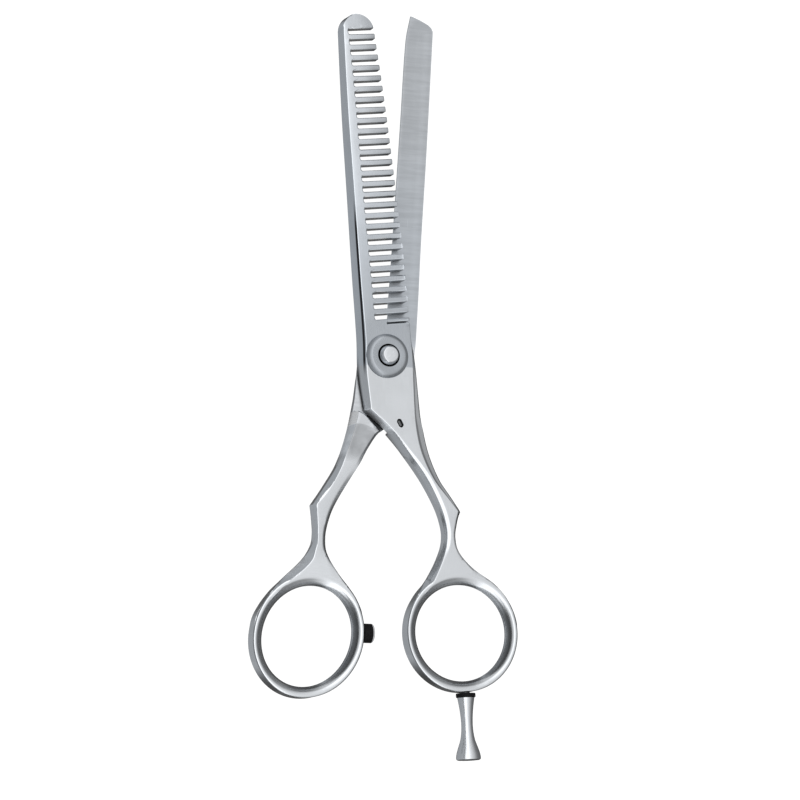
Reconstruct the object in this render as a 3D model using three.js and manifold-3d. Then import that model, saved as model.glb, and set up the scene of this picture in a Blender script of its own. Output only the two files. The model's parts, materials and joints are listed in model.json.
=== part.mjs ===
// Thinning shears: a toothed half and a plain half that cross on a pivot screw, with a tension
// nut under the pivot, a rubber bumper on the plain half's ring and a screw-in finger rest on
// the toothed half's ring. Millimetres, +Z up, +Y towards the blade tips. The shears lie flat
// and part open, toothed half on top.
// The origin is the centre of the tension nut's flat underside, on the pivot axis.

import * as THREE from 'three';
import { ParametricGeometry } from 'three/addons/geometries/ParametricGeometry.js';
import { mergeVertices } from 'three/addons/utils/BufferGeometryUtils.js';
import Module from 'manifold-3d';

const wasm = await Module();
wasm.setup();

// ---- Driving dimensions ----

const PARTING_HEIGHT = 5.8; // parting plane between the halves, above the nut's underside
const RUNNING_GAP = 0.05; // from the parting plane to each half's ride face
const LOFT_STEP = 2.6; // length of one loft segment along a half

const TIP_Y = 78.2; // where both blades are still full width, just past their tips
// The toothed blade's rounded end, at its foot and where its walls reach the height given.
const TIP_FOOT = { x: -6.65, y: 72.75, radius: 3.95, z: 0 };
const TIP_HEAD = { x: -6.3, y: 73.3, radius: 3.62, z: 4 };

const TEETH = { slots: 28, width: 1.25, topY: 72.96, topX: -4.96, bottomY: 8.86, bottomX: -0.23 };
const SLOT_RISE = THREE.MathUtils.degToRad(8); // slots climb towards the tooth tips
const SLOT_ROOT_RADIUS = 0.35;
const END_SLOT = { x: 0.1, y: 7.35, width: 0.45 };

const WALL_HALF_HEIGHT = 0.95; // upright part of the handles' side walls
const RING_HALF_WIDTH = 1.22;
const RING_HALF_HEIGHT = 1.9;
const TOOTHED_RING = { x: 18.2, y: -59.7, alongTilt: 11.72, acrossTilt: 11.72, tilt: 0 };
const PLAIN_RING = {
  x: -17.3,
  y: -61.6,
  alongTilt: 12.45,
  acrossTilt: 11.05,
  tilt: THREE.MathUtils.degToRad(-31),
};

const SCREW_RADIUS = 2.0;
const THREAD_RADIUS = 1.6;
const SCREW_FLANGE = { radius: 3.4, thickness: 0.5 };
const BUTTON = { baseRadius: 2.25, topRadius: 1.85, top: 5.6 };
const BUSH_RADIUS = 2.7;
const DISC = { bottom: 3.05, height: 1.15, baseRadius: 4.85, topRadius: 4.2, holeRadius: 2.5 };
const GLIDE = { radius: 4.1, holeRadius: 2.9, thickness: 0.35 };
const PLAIN_BORE_RADIUS = 2.08;
const FIT_GAP = 0.05; // radial clearance of a running fit
const STACK_GAP = 0.04; // between the flat pieces stacked under the pivot
const THRUST = { radius: 4.3, thickness: 0.35 };
const SPRING = { radius: 4.0, thickness: 0.25, rise: 0.3 };
const NUT = { radius: 3.55, knurlDepth: 0.16, knurls: 18, boreDepth: 1.2, chamfer: 0.3, faceRadius: 3 };
const EDGE = 0.15; // small chamfer on turned pieces

// A small plain obround pocket in the toothed half's shank.
const MARK = { x: 3.2, y: -14.6, radius: 0.62, halfLength: 0.4, floor: 2.45, lean: -60 };

const BUMPER = { y: -60.5, radius: 2.1, tipX: -2.25, dome: 0.25, stemRadius: 0.9, stemLength: 1.5 };
const REST_ROOT = { x: 19.45, y: -72.55 }; // where the finger rest meets the ring
const REST_LEAN = THREE.MathUtils.degToRad(2.6); // the rest leans towards +X at its end
const REST_LENGTH = 13.6;
const REST_END = { rimRadius: 2.72, rimHeight: 0.5, edgeRadius: 2.4, flatRadius: 1.5 };
const REST_WASHER = { radius: 2.15, thickness: 0.95, top: -0.12 };
const REST_STUD = { radius: 0.9, length: 1.7 }; // its threaded end, in the ring
const STUD_CLEARANCE = 0.08;

// ---- Curves along the length: each takes y and gives a width, height or place ----

// A smooth curve through [y, value] knots, which run from the tip end to the ring end.
function smooth(...knots) {
  const slope = (a, b) => (b[1] - a[1]) / (b[0] - a[0]);
  const slopes = knots.map((knot, i) => {
    const before = knots[Math.max(i - 1, 0)];
    const after = knots[Math.min(i + 1, knots.length - 1)];
    return slope(before, after);
  });
  return (y) => {
    let i = 0;
    while (i < knots.length - 2 && y < knots[i + 1][0]) i += 1;
    const span = knots[i + 1][0] - knots[i][0];
    const t = THREE.MathUtils.clamp((y - knots[i][0]) / span, 0, 1);
    const rise = t * t * (3 - 2 * t);
    const leaving = t * (1 - t) * (1 - t) * span * slopes[i];
    const arriving = t * t * (t - 1) * span * slopes[i + 1];
    return knots[i][1] * (1 - rise) + knots[i + 1][1] * rise + leaving + arriving;
  };
}

// Two curves that meet at a corner.
const cornered = (cornerY, upper, lower) => (y) => (y > cornerY ? upper(y) : lower(y));

// ---- Outlines of the two halves, and the lines where their facets meet ----

const LAP_CORNER_Y = -11.9; // where each shank's narrow edge turns into its handle
const KNUCKLE_Y = -33.2; // the pointed bump on the outside of each handle

const toothedHalf = {
  endY: TOOTHED_RING.y,
  cornerYs: [LAP_CORNER_Y, KNUCKLE_Y],
  left: cornered(
    LAP_CORNER_Y,
    smooth([TIP_Y, -10.9], [54.5, -9.7], [36, -8.42], [17, -7.1], [4, -6.1], [-4, -5.8], [-11.9, -4.5]),
    smooth(
      [-11.9, -4.5], [-16.3, 0.9], [-21.35, 5.15], [-26.45, 9.0], [-31.6, 12.05], [-35.1, 13.5],
      [-38.6, 14.15], [-42.1, 13.5], [-47.5, 10.75], [-52.9, 7.2], [-56.4, 5.85], [-59.7, 5.27],
    ),
  ),
  right: cornered(
    KNUCKLE_Y,
    smooth(
      [TIP_Y, -3.6], [64.3, -1.32], [45.4, 1.3], [24.2, 3.82], [8, 5.49], [0, 7.1], [-10.8, 8.5],
      [-16.1, 9.3], [-21.3, 10.7], [-26.5, 13.1], [-29.9, 15.6], [-33.2, 18.0],
    ),
    smooth(
      [-33.2, 18.0], [-35.6, 17.4], [-38.7, 17.0], [-42.1, 17.9], [-45.5, 21.1], [-48.8, 26.1],
      [-52.2, 29.1], [-55.7, 30.75], [-59.7, 31.13],
    ),
  ),
  top: smooth([TIP_Y, 2.35], [40, 2.7], [0, 3.0], [-12, 2.9], [-25, 2.3], [-36, 2.1], [-59.7, 1.9]),
  leftInset: smooth(
    [TIP_Y, 0.5], [10, 1.0], [-4, 1.1], [-11.9, 0.8], [-17, 0.4], [-25, 0.95], [-32, 0.65],
    [-38.8, 0.4], [-45, 0.85], [-52, 0.9], [-59.7, 0.4],
  ),
  ridgeInset: smooth([TIP_Y, 0.6], [-10, 1.9], [-17, 1.6], [-30, 1.7], [-45, 1.7], [-59.7, 0.8]),
  rightInset: smooth([TIP_Y, 0.05], [9, 0.1], [-2, 1.3], [-8, 1.7], [-16.4, 1.2], [-24, 0.8], [-59.7, 0.45]),
};

const plainHalf = {
  endY: PLAIN_RING.y,
  cornerYs: [LAP_CORNER_Y, KNUCKLE_Y],
  left: cornered(
    KNUCKLE_Y,
    smooth(
      [TIP_Y, 6.75], [72.4, 5.65], [53.9, 4.39], [36, 3.15], [12, 1.4], [7.5, 0.6], [5.4, -3.4],
      [2, -5.2], [-2.5, -5.8], [-9.6, -6.4], [-16.8, -8.0], [-23.9, -10.5], [-29.4, -13.8], [-33.2, -16.4],
    ),
    smooth(
      [-33.2, -16.4], [-36.4, -16.0], [-39, -15.85], [-41.7, -16.25], [-45.2, -18.5], [-50.6, -24.1],
      [-54.2, -27.05], [-57.7, -28.95], [-61.6, -29.75],
    ),
  ),
  right: cornered(
    LAP_CORNER_Y,
    smooth([TIP_Y, 12.25], [68.4, 11.72], [45.4, 10.41], [27, 9.22], [9, 8.23], [0, 7.4], [-11.9, 4.3]),
    smooth(
      [-11.9, 4.3], [-16.9, -1.35], [-22.1, -4.7], [-27.6, -8.2], [-33, -11.2], [-36.5, -12.55],
      [-40, -13.25], [-43.5, -12.85], [-48.5, -9.75], [-53.6, -6.05], [-57.7, -4.95], [-61.6, -4.75],
    ),
  ),
  top: smooth([TIP_Y, 2.35], [40, 2.7], [0, 3.0], [-12, 2.8], [-25, 2.3], [-36, 2.1], [-61.6, 1.9]),
  leftInset: smooth(
    [TIP_Y, 2.6], [20, 3.2], [6, 2.4], [-6, 0.9], [-16, 0.8], [-25.5, 1.2], [-33.2, 0.8],
    [-40, 0.5], [-46, 1.3], [-54, 1.2], [-61.6, 0.4],
  ),
  ridgeInset: smooth([TIP_Y, 3.4], [20, 4.2], [6, 3.2], [-6, 1.6], [-25, 1.9], [-40, 1.2], [-61.6, 0.8]),
  rightInset: smooth([TIP_Y, 0.9], [0, 1.1], [-12, 1.0], [-30, 0.9], [-45, 0.8], [-61.6, 0.4]),
};

// How far a side wall leans in over its height: 1 on the blades, 0 on the handles.
const wallLean = (y) => THREE.MathUtils.smoothstep(y, LAP_CORNER_Y - 4, LAP_CORNER_Y);
const HANDLE_FACET_FOOT = 0.86; // where a handle's narrow facet starts, as a share of its height
const FACET_MIN = 0.05; // least width of a facet

// ---- Solids: closed meshes, and the joins and cuts between them ----

// Drops the triangles that a pointed or closed-up end leaves without any area.
function withoutSlivers(geometry) {
  const kept = [];
  const { array } = geometry.index;
  for (let i = 0; i < array.length; i += 3) {
    const [a, b, c] = array.slice(i, i + 3);
    if (a !== b && b !== c && c !== a) kept.push(a, b, c);
  }
  geometry.setIndex(kept);
  return geometry;
}

function welded(geometry) {
  const bare = geometry.clone();
  bare.deleteAttribute('normal');
  bare.deleteAttribute('uv');
  return withoutSlivers(mergeVertices(bare, 1e-4));
}

function solid(geometry) {
  const bare = welded(geometry);
  const vertProperties = new Float32Array(bare.attributes.position.array);
  const triVerts = new Uint32Array(bare.index.array);
  return new wasm.Manifold(new wasm.Mesh({ numProp: 3, vertProperties, triVerts }));
}

function geometryOf(body) {
  const { vertProperties, triVerts } = body.getMesh();
  const geometry = new THREE.BufferGeometry();
  geometry.setAttribute('position', new THREE.BufferAttribute(new Float32Array(vertProperties), 3));
  geometry.setIndex(new THREE.BufferAttribute(new Uint32Array(triVerts), 1));
  return geometry;
}

// A solid skinned over sections of equal point count, with its ends closed to their middles.
function lofted(sections) {
  const pointCount = sections[0].length;
  const middle = (section) => {
    const sum = section.reduce((total, point) => total.add(point), new THREE.Vector3());
    return section.map(() => sum.clone().divideScalar(pointCount));
  };
  const rings = [middle(sections[0]), ...sections, middle(sections.at(-1))];
  const place = (u, v, target) => {
    const ring = rings[Math.round(v * (rings.length - 1))];
    target.copy(ring[Math.round((1 - u) * pointCount) % pointCount]);
  };
  return new ParametricGeometry(place, pointCount, rings.length - 1);
}

// A solid of revolution about Z, from [radius, height] points.
function turned(points, segments = 32) {
  const profile = points.map(([radius, height]) => new THREE.Vector2(radius, height));
  return new THREE.LatheGeometry(profile, segments).rotateX(Math.PI / 2);
}

// A flat-faced piece of uniform thickness, from an outline of points.
function plate(points, bottom, top) {
  const shape = new THREE.Shape(points.map(([x, y]) => new THREE.Vector2(x, y)));
  const options = { depth: top - bottom, bevelEnabled: false };
  return new THREE.ExtrudeGeometry(shape, options).translate(0, 0, bottom);
}

// ---- The long body of a half: blade, shank and handle, down to the middle of its ring ----

// One section across a half: side walls, a narrow facet, a broad face and a bevel, mirrored.
function sectionAt(half, y) {
  const left = half.left(y);
  const right = half.right(y);
  const top = half.top(y);
  const lean = (WALL_HALF_HEIGHT / top) * wallLean(y);
  const middle = (left + right) / 2;
  const outer = left + half.leftInset(y);
  const ridge = Math.min(left + half.ridgeInset(y), middle);
  const shoulder = Math.max(right - half.rightInset(y), middle + FACET_MIN);
  const facetFoot = top * THREE.MathUtils.lerp(HANDLE_FACET_FOOT, 1, wallLean(y));
  const leftWall = left + half.leftInset(y) * lean;
  const rightWall = right - half.rightInset(y) * lean;
  const over = [
    [left, 0],
    [leftWall, WALL_HALF_HEIGHT],
    [Math.min(outer, ridge - FACET_MIN), facetFoot],
    [ridge, top],
    [shoulder, top],
    [rightWall, WALL_HALF_HEIGHT],
    [right, 0],
  ];
  const under = over.slice(1, -1).reverse().map(([x, z]) => [x, -z]);
  return [...over, ...under].map(([x, z]) => new THREE.Vector3(x, y, z));
}

function longBody(half) {
  const stations = [];
  const stops = [TIP_Y, ...half.cornerYs, half.endY];
  for (let i = 0; i < stops.length - 1; i += 1) {
    const count = Math.ceil((stops[i] - stops[i + 1]) / LOFT_STEP);
    for (let k = 0; k < count; k += 1) {
      stations.push(THREE.MathUtils.lerp(stops[i], stops[i + 1], k / count));
    }
  }
  stations.push(half.endY);
  return solid(lofted(stations.map((y) => sectionAt(half, y))));
}

// ---- Finger rings ----

const DEEP = 8; // safely past any face of a half
const FAR = 100; // safely past either end of the shears

function ringPlaced(geometry, ring) {
  return solid(geometry.rotateZ(ring.tilt).translate(ring.x, ring.y, 0));
}

// An oval ring of even width, whose own section is a rounded rectangle.
function ringBody(ring) {
  const squareness = 2 / 3.2;
  const rounded = (value) => Math.sign(value) * Math.abs(value) ** squareness;
  const place = (u, v, target) => {
    const around = (v % 1) * 2 * Math.PI;
    const turn = (1 - u) % 1 * 2 * Math.PI;
    const outward = RING_HALF_WIDTH * rounded(Math.cos(turn));
    target.x = (ring.acrossTilt + outward) * Math.cos(around);
    target.y = (ring.alongTilt + outward) * Math.sin(around);
    target.z = RING_HALF_HEIGHT * rounded(Math.sin(turn));
  };
  return ringPlaced(new ParametricGeometry(place, 12, 48), ring);
}

function ringHole(ring) {
  const plug = turned([[0, -DEEP], [1, -DEEP], [1, DEEP], [0, DEEP]], 48);
  return ringPlaced(plug.scale(ring.acrossTilt, ring.alongTilt, 1), ring);
}

// How far a ring's outer edge stands from its middle, towards +X.
function ringReach(ring) {
  const across = (ring.acrossTilt + RING_HALF_WIDTH) * Math.cos(ring.tilt);
  const along = (ring.alongTilt + RING_HALF_WIDTH) * Math.sin(ring.tilt);
  return Math.hypot(across, along);
}

// ---- The lap, where each half is thinned so that they cross at one level ----

// The part of a half's handle side that must stay thin: everything above this stepped edge.
// side is -1 for the edge on the left of the pivot and 1 for the edge on its right.
function lapArea(side, bottom, top) {
  const edge = [
    [FAR, -12.2], [7.4, -12.2], [6.4, -12.25], [5.5, -12.6], [4.5, -13.35], [1.2, -16.75],
    [-3.5, -21.6], [-FAR, -21.6], [-FAR, FAR], [FAR, FAR],
  ];
  const points = edge.map(([x, y]) => [side * x, y]);
  if (side > 0) points.reverse();
  return solid(plate(points, bottom, top));
}

function bore(radius, bottom = -DEEP, top = DEEP) {
  return solid(turned([[0, bottom], [radius, bottom], [radius, top], [0, top]]));
}

// ---- Toothed half ----

function roundedTip() {
  const segments = 40;
  const circle = ({ x, y, radius, z }) => {
    const points = [];
    for (let i = 0; i < segments; i += 1) {
      const turn = (-i / segments) * 2 * Math.PI;
      points.push(new THREE.Vector3(x + radius * Math.cos(turn), y + radius * Math.sin(turn), z));
    }
    return points;
  };
  const tip = lofted([TIP_FOOT, TIP_HEAD].map(circle));
  const rest = [[-FAR, -FAR], [FAR, -FAR], [FAR, TIP_FOOT.y], [-FAR, TIP_FOOT.y]];
  return solid(tip).add(solid(plate(rest, -DEEP, DEEP)));
}

// A slot that opens past the tooth tips and ends in a rounded root at rootX.
function slot(rootX, y, width) {
  const half = width / 2;
  const radius = Math.min(SLOT_ROOT_RADIUS, 0.9 * half);
  const reach = 14; // past the tooth tips
  const shape = new THREE.Shape();
  shape.moveTo(reach, -half);
  shape.lineTo(reach, half);
  shape.lineTo(radius, half);
  shape.absarc(radius, half - radius, radius, Math.PI / 2, Math.PI, false);
  shape.lineTo(0, -half + radius);
  shape.absarc(radius, -half + radius, radius, Math.PI, Math.PI * 1.5, false);
  const cutter = new THREE.ExtrudeGeometry(shape, { depth: DEEP, bevelEnabled: false, curveSegments: 2 });
  return solid(cutter.rotateZ(SLOT_RISE).translate(rootX, y, -DEEP / 2));
}

const slotRoot = smooth([73, -8.95], [63, -7.78], [35, -5.35], [22.7, -4.13], [8, -2.75]);

function toothSlots() {
  const slots = [];
  for (let i = 0; i < TEETH.slots; i += 1) {
    const along = i / (TEETH.slots - 1);
    const middleX = THREE.MathUtils.lerp(TEETH.topX, TEETH.bottomX, along);
    const middleY = THREE.MathUtils.lerp(TEETH.topY, TEETH.bottomY, along);
    const rootX = slotRoot(middleY);
    slots.push(slot(rootX, middleY - (middleX - rootX) * Math.tan(SLOT_RISE), TEETH.width));
  }
  slots.push(slot(END_SLOT.x, END_SLOT.y, END_SLOT.width));
  return slots;
}

function markPocket() {
  const shape = new THREE.Shape();
  shape.absarc(MARK.halfLength, 0, MARK.radius, -Math.PI / 2, Math.PI / 2, false);
  shape.absarc(-MARK.halfLength, 0, MARK.radius, Math.PI / 2, Math.PI * 1.5, false);
  const options = { depth: DEEP, bevelEnabled: false, curveSegments: 6 };
  const cutter = new THREE.ExtrudeGeometry(shape, options);
  cutter.rotateZ(THREE.MathUtils.degToRad(MARK.lean));
  return solid(cutter.translate(MARK.x, MARK.y, MARK.floor));
}

function toothedHalfGeometry() {
  let body = longBody(toothedHalf).subtract(ringHole(TOOTHED_RING)).add(ringBody(TOOTHED_RING));
  body = body.intersect(roundedTip());
  body = body.subtract(lapArea(1, -DEEP, RUNNING_GAP));
  body = body.subtract(bore(BUSH_RADIUS + FIT_GAP));
  for (const cutter of toothSlots()) body = body.subtract(cutter);
  body = body.subtract(markPocket());
  return geometryOf(body.subtract(restStudHole()));
}

// ---- Plain half ----

// Everything behind the slanted end of the plain blade.
function slantedTip() {
  const corner = [
    [6.75, 78.15], [7.0, 78.1], [9.1, 77.35], [10.9, 76.5], [11.65, 75.9], [12.05, 75.1], [12.6, 73],
  ];
  const behind = [[FAR, 60], [FAR, -FAR], [-FAR, -FAR], [-FAR, 60], [5, 76]];
  return solid(plate([...corner, ...behind].reverse(), -DEEP, DEEP));
}

function glideRecess() {
  return bore(GLIDE.radius + FIT_GAP, -RUNNING_GAP - GLIDE.thickness, DEEP);
}

const BUMPER_SEAT = PLAIN_RING.x + ringReach(PLAIN_RING);

// Turns a piece made along +Z so that it points out of the plain ring's side, at the bumper.
function alongBumper(geometry) {
  return geometry.rotateY(Math.PI / 2).translate(BUMPER_SEAT, BUMPER.y, 0);
}

function bumperSocket() {
  const radius = BUMPER.stemRadius + FIT_GAP;
  const floor = -BUMPER.stemLength - FIT_GAP;
  return solid(alongBumper(turned([[0, floor], [radius, floor], [radius, DEEP], [0, DEEP]], 24)));
}

function plainHalfGeometry() {
  let body = longBody(plainHalf).subtract(ringHole(PLAIN_RING)).add(ringBody(PLAIN_RING));
  body = body.intersect(slantedTip());
  body = body.subtract(lapArea(-1, -RUNNING_GAP, DEEP));
  body = body.subtract(bore(PLAIN_BORE_RADIUS)).subtract(glideRecess());
  return geometryOf(body.subtract(bumperSocket()));
}

// ---- Pivot pieces, from the top down ----

const NUT_BOTTOM = -PARTING_HEIGHT;
const THRUST_TOP = -plainHalf.top(0) - STACK_GAP;
const SPRING_TOP = THRUST_TOP - THRUST.thickness - STACK_GAP;
const NUT_TOP = SPRING_TOP - SPRING.rise - SPRING.thickness - STACK_GAP;

function pivotScrewGeometry() {
  const flangeTop = DISC.bottom + SCREW_FLANGE.thickness;
  const end = NUT_TOP - NUT.boreDepth + STACK_GAP;
  return turned([
    [0, end],
    [THREAD_RADIUS - EDGE, end],
    [THREAD_RADIUS, end + EDGE],
    [THREAD_RADIUS, NUT_TOP + STACK_GAP],
    [SCREW_RADIUS, NUT_TOP + STACK_GAP + EDGE],
    [SCREW_RADIUS, DISC.bottom],
    [SCREW_FLANGE.radius, DISC.bottom],
    [SCREW_FLANGE.radius, flangeTop],
    [BUTTON.baseRadius, flangeTop],
    [BUTTON.baseRadius, DISC.bottom + DISC.height],
    [BUTTON.topRadius, BUTTON.top - EDGE],
    [BUTTON.topRadius - EDGE, BUTTON.top],
    [0, BUTTON.top],
  ]);
}

// The bevelled disc sits on the toothed half and traps the screw's flange under it.
function pivotDiscGeometry() {
  const top = DISC.bottom + DISC.height;
  const pocketRadius = SCREW_FLANGE.radius + FIT_GAP;
  const pocketTop = DISC.bottom + SCREW_FLANGE.thickness + STACK_GAP;
  const foot = 0.25;
  return turned([
    [pocketRadius, DISC.bottom],
    [DISC.baseRadius, DISC.bottom],
    [DISC.baseRadius, DISC.bottom + foot],
    [DISC.topRadius, top],
    [DISC.holeRadius, top],
    [DISC.holeRadius, pocketTop],
    [pocketRadius, pocketTop],
    [pocketRadius, DISC.bottom],
  ], 40);
}

function washerGeometry(inner, outer, bottom, top) {
  return turned([[inner, bottom], [outer, bottom], [outer, top], [inner, top], [inner, bottom]]);
}

function bearingBushGeometry() {
  return washerGeometry(SCREW_RADIUS + FIT_GAP, BUSH_RADIUS, RUNNING_GAP, DISC.bottom - STACK_GAP);
}

function glideWasherGeometry() {
  const bottom = -RUNNING_GAP - GLIDE.thickness + STACK_GAP / 2;
  return washerGeometry(GLIDE.holeRadius, GLIDE.radius, bottom, bottom + GLIDE.thickness);
}

function thrustWasherGeometry() {
  const inner = SCREW_RADIUS + FIT_GAP;
  return washerGeometry(inner, THRUST.radius, THRUST_TOP - THRUST.thickness, THRUST_TOP);
}

// A coned spring washer: its rim bears up on the thrust washer, its bore on the nut.
function springWasherGeometry() {
  const inner = SCREW_RADIUS + FIT_GAP;
  const { radius, thickness, rise } = SPRING;
  return turned([
    [inner, SPRING_TOP - rise - thickness],
    [radius, SPRING_TOP - thickness],
    [radius, SPRING_TOP],
    [inner, SPRING_TOP - rise],
    [inner, SPRING_TOP - rise - thickness],
  ]);
}

// A round dial nut with a scalloped rim and a blind bore for the screw's end.
function tensionNutGeometry() {
  const rimPoints = NUT.knurls * 6;
  const rim = (radius) => {
    const points = [];
    for (let i = 0; i < rimPoints; i += 1) {
      const turn = (i / rimPoints) * 2 * Math.PI;
      const reach = radius - NUT.knurlDepth * (0.5 - 0.5 * Math.cos(turn * NUT.knurls));
      points.push([reach * Math.cos(turn), reach * Math.sin(turn)]);
    }
    return points;
  };
  const chamferTop = NUT_BOTTOM + NUT.chamfer;
  const body = solid(plate(rim(NUT.radius), chamferTop, NUT_TOP));
  const face = turned([
    [0, NUT_BOTTOM],
    [NUT.faceRadius, NUT_BOTTOM],
    [NUT.radius - 1.5 * NUT.knurlDepth, chamferTop + EDGE],
    [0, chamferTop + EDGE],
  ]);
  const hole = bore(THREAD_RADIUS + FIT_GAP, NUT_TOP - NUT.boreDepth, DEEP);
  return geometryOf(body.add(solid(face)).subtract(hole));
}

// ---- Rubber bumper, pushed into the side of the plain half's ring ----

function bumperGeometry() {
  const tip = BUMPER.tipX - BUMPER_SEAT;
  const profile = [
    [0, -BUMPER.stemLength],
    [BUMPER.stemRadius, -BUMPER.stemLength],
    [BUMPER.stemRadius, FIT_GAP],
    [BUMPER.radius - EDGE, FIT_GAP],
    [BUMPER.radius, FIT_GAP + EDGE],
    [BUMPER.radius, tip - BUMPER.dome],
    [BUMPER.radius - BUMPER.dome, tip],
    [0, tip],
  ];
  return alongBumper(turned(profile));
}

// ---- Finger rest, screwed into the end of the toothed half's ring ----

// Turns a piece made along -Z so that it points down the finger rest's axis, from its root.
function alongRest(geometry) {
  return geometry.rotateX(-Math.PI / 2).rotateZ(REST_LEAN).translate(REST_ROOT.x, REST_ROOT.y, 0);
}

function restStudHole() {
  const radius = REST_STUD.radius + STUD_CLEARANCE;
  const depth = REST_STUD.length + STUD_CLEARANCE;
  const outside = -3;
  return solid(alongRest(turned([[0, outside], [radius, outside], [radius, depth], [0, depth]], 24)));
}

function restWasherGeometry() {
  const inner = REST_STUD.radius + STUD_CLEARANCE;
  const { radius, thickness, top } = REST_WASHER;
  return alongRest(turned([
    [inner, top - thickness],
    [radius - EDGE, top - thickness],
    [radius, top - thickness + EDGE],
    [radius, top - EDGE],
    [radius - EDGE, top],
    [inner, top],
    [inner, top - thickness],
  ]));
}

function fingerRestGeometry() {
  const start = REST_WASHER.top - REST_WASHER.thickness - STACK_GAP;
  const end = start - REST_LENGTH;
  const rimEnd = end + REST_END.rimHeight;
  const waist = smooth(
    [0, 1.86], [-0.2, 1.47], [-0.4, 1.27], [-0.56, 1.33], [-0.7, 1.62], [-0.82, 2.15],
    [-0.93, 2.6], [-1, REST_END.rimRadius],
  );
  const profile = [[0, REST_STUD.length], [REST_STUD.radius, REST_STUD.length], [REST_STUD.radius, start]];
  const steps = 14;
  for (let i = 0; i <= steps; i += 1) {
    profile.push([waist(-i / steps), THREE.MathUtils.lerp(start, rimEnd, i / steps)]);
  }
  profile.push([REST_END.edgeRadius, end + EDGE], [REST_END.flatRadius, end], [0, end]);
  return alongRest(turned(profile.reverse(), 28));
}

// ---- Materials ----

const metal = (color, roughness) => new THREE.MeshStandardMaterial({ color, roughness, metalness: 1 });
const moulded = (color, roughness) => new THREE.MeshStandardMaterial({ color, roughness, metalness: 0 });

const POLISHED_STEEL = metal('#cfd2d4', 0.2);
const SATIN_STEEL = metal('#a9aeb3', 0.42);
const PIVOT_STEEL = metal('#b4b9bd', 0.35);
const SPRING_STEEL = metal('#8d9196', 0.4);
const BRONZE = metal('#b08d57', 0.4);
const POLYMER = moulded('#e8e6df', 0.55);
const RUBBER = moulded('#111214', 0.5);

// ---- Assembly ----

const assembly = new THREE.Group();
assembly.position.z = PARTING_HEIGHT;

function place(name, geometry, material) {
  const mesh = new THREE.Mesh(welded(geometry), material.clone());
  mesh.name = name;
  assembly.add(mesh);
}

place('toothed_half', toothedHalfGeometry(), POLISHED_STEEL);
place('plain_half', plainHalfGeometry(), SATIN_STEEL);
place('pivot_screw', pivotScrewGeometry(), POLISHED_STEEL);
place('pivot_disc', pivotDiscGeometry(), PIVOT_STEEL);
place('bearing_bush', bearingBushGeometry(), BRONZE);
place('glide_washer', glideWasherGeometry(), POLYMER);
place('thrust_washer', thrustWasherGeometry(), POLYMER);
place('spring_washer', springWasherGeometry(), SPRING_STEEL);
place('tension_nut', tensionNutGeometry(), PIVOT_STEEL);
place('rubber_bumper', bumperGeometry(), RUBBER);
place('finger_rest_washer', restWasherGeometry(), RUBBER);
place('finger_rest', fingerRestGeometry(), POLISHED_STEEL);

const shears = new THREE.Group();
shears.name = 'thinning_shears';
shears.add(assembly);

export default shears;
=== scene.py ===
"""Thinning shears, in Blender: finer meshes for the two halves and the pieces that show, with steel,
rubber and polymer materials, on a plain pale floor. Lengths are in millimetres until a mesh is made;
heights are from the parting plane between the halves, and +Y runs towards the blade tips."""

import json
import math
from types import SimpleNamespace

import bpy
import numpy as np
from mathutils import Matrix, Vector
from mathutils.geometry import delaunay_2d_cdt


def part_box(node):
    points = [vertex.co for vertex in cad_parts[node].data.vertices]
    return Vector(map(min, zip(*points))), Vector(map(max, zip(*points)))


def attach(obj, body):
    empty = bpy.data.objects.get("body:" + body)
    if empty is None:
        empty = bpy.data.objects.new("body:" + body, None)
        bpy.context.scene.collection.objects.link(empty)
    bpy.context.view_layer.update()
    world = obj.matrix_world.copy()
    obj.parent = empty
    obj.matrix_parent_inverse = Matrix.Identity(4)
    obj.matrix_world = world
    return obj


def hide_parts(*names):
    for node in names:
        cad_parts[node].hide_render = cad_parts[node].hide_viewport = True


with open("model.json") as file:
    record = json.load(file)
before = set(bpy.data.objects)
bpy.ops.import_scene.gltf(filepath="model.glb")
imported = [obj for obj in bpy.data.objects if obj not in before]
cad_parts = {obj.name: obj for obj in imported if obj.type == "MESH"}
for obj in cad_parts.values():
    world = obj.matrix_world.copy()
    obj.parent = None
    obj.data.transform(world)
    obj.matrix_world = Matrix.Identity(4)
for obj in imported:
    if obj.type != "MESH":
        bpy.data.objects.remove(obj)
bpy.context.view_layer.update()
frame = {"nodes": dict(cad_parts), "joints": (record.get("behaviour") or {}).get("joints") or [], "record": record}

MM = 0.001

# ---- Places and sizes, from the frame ----


def box(node):
    """A CAD node's lowest and highest corners in millimetres, heights from the parting plane."""
    low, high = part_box(node)
    return np.array(low) / MM - [0, 0, PARTING], np.array(high) / MM - [0, 0, PARTING]


joints = {joint["name"]: joint for joint in frame["joints"]}
PARTING = joints["blade_pivot"]["pos_m"][2] / MM
toothed_low, toothed_high = box("toothed_half")
plain_low, _ = box("plain_half")
disc_low, disc_high = box("pivot_disc")
screw_low, screw_high = box("pivot_screw")
nut_low, nut_high = box("tension_nut")
bumper_low, bumper_high = box("rubber_bumper")

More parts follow.
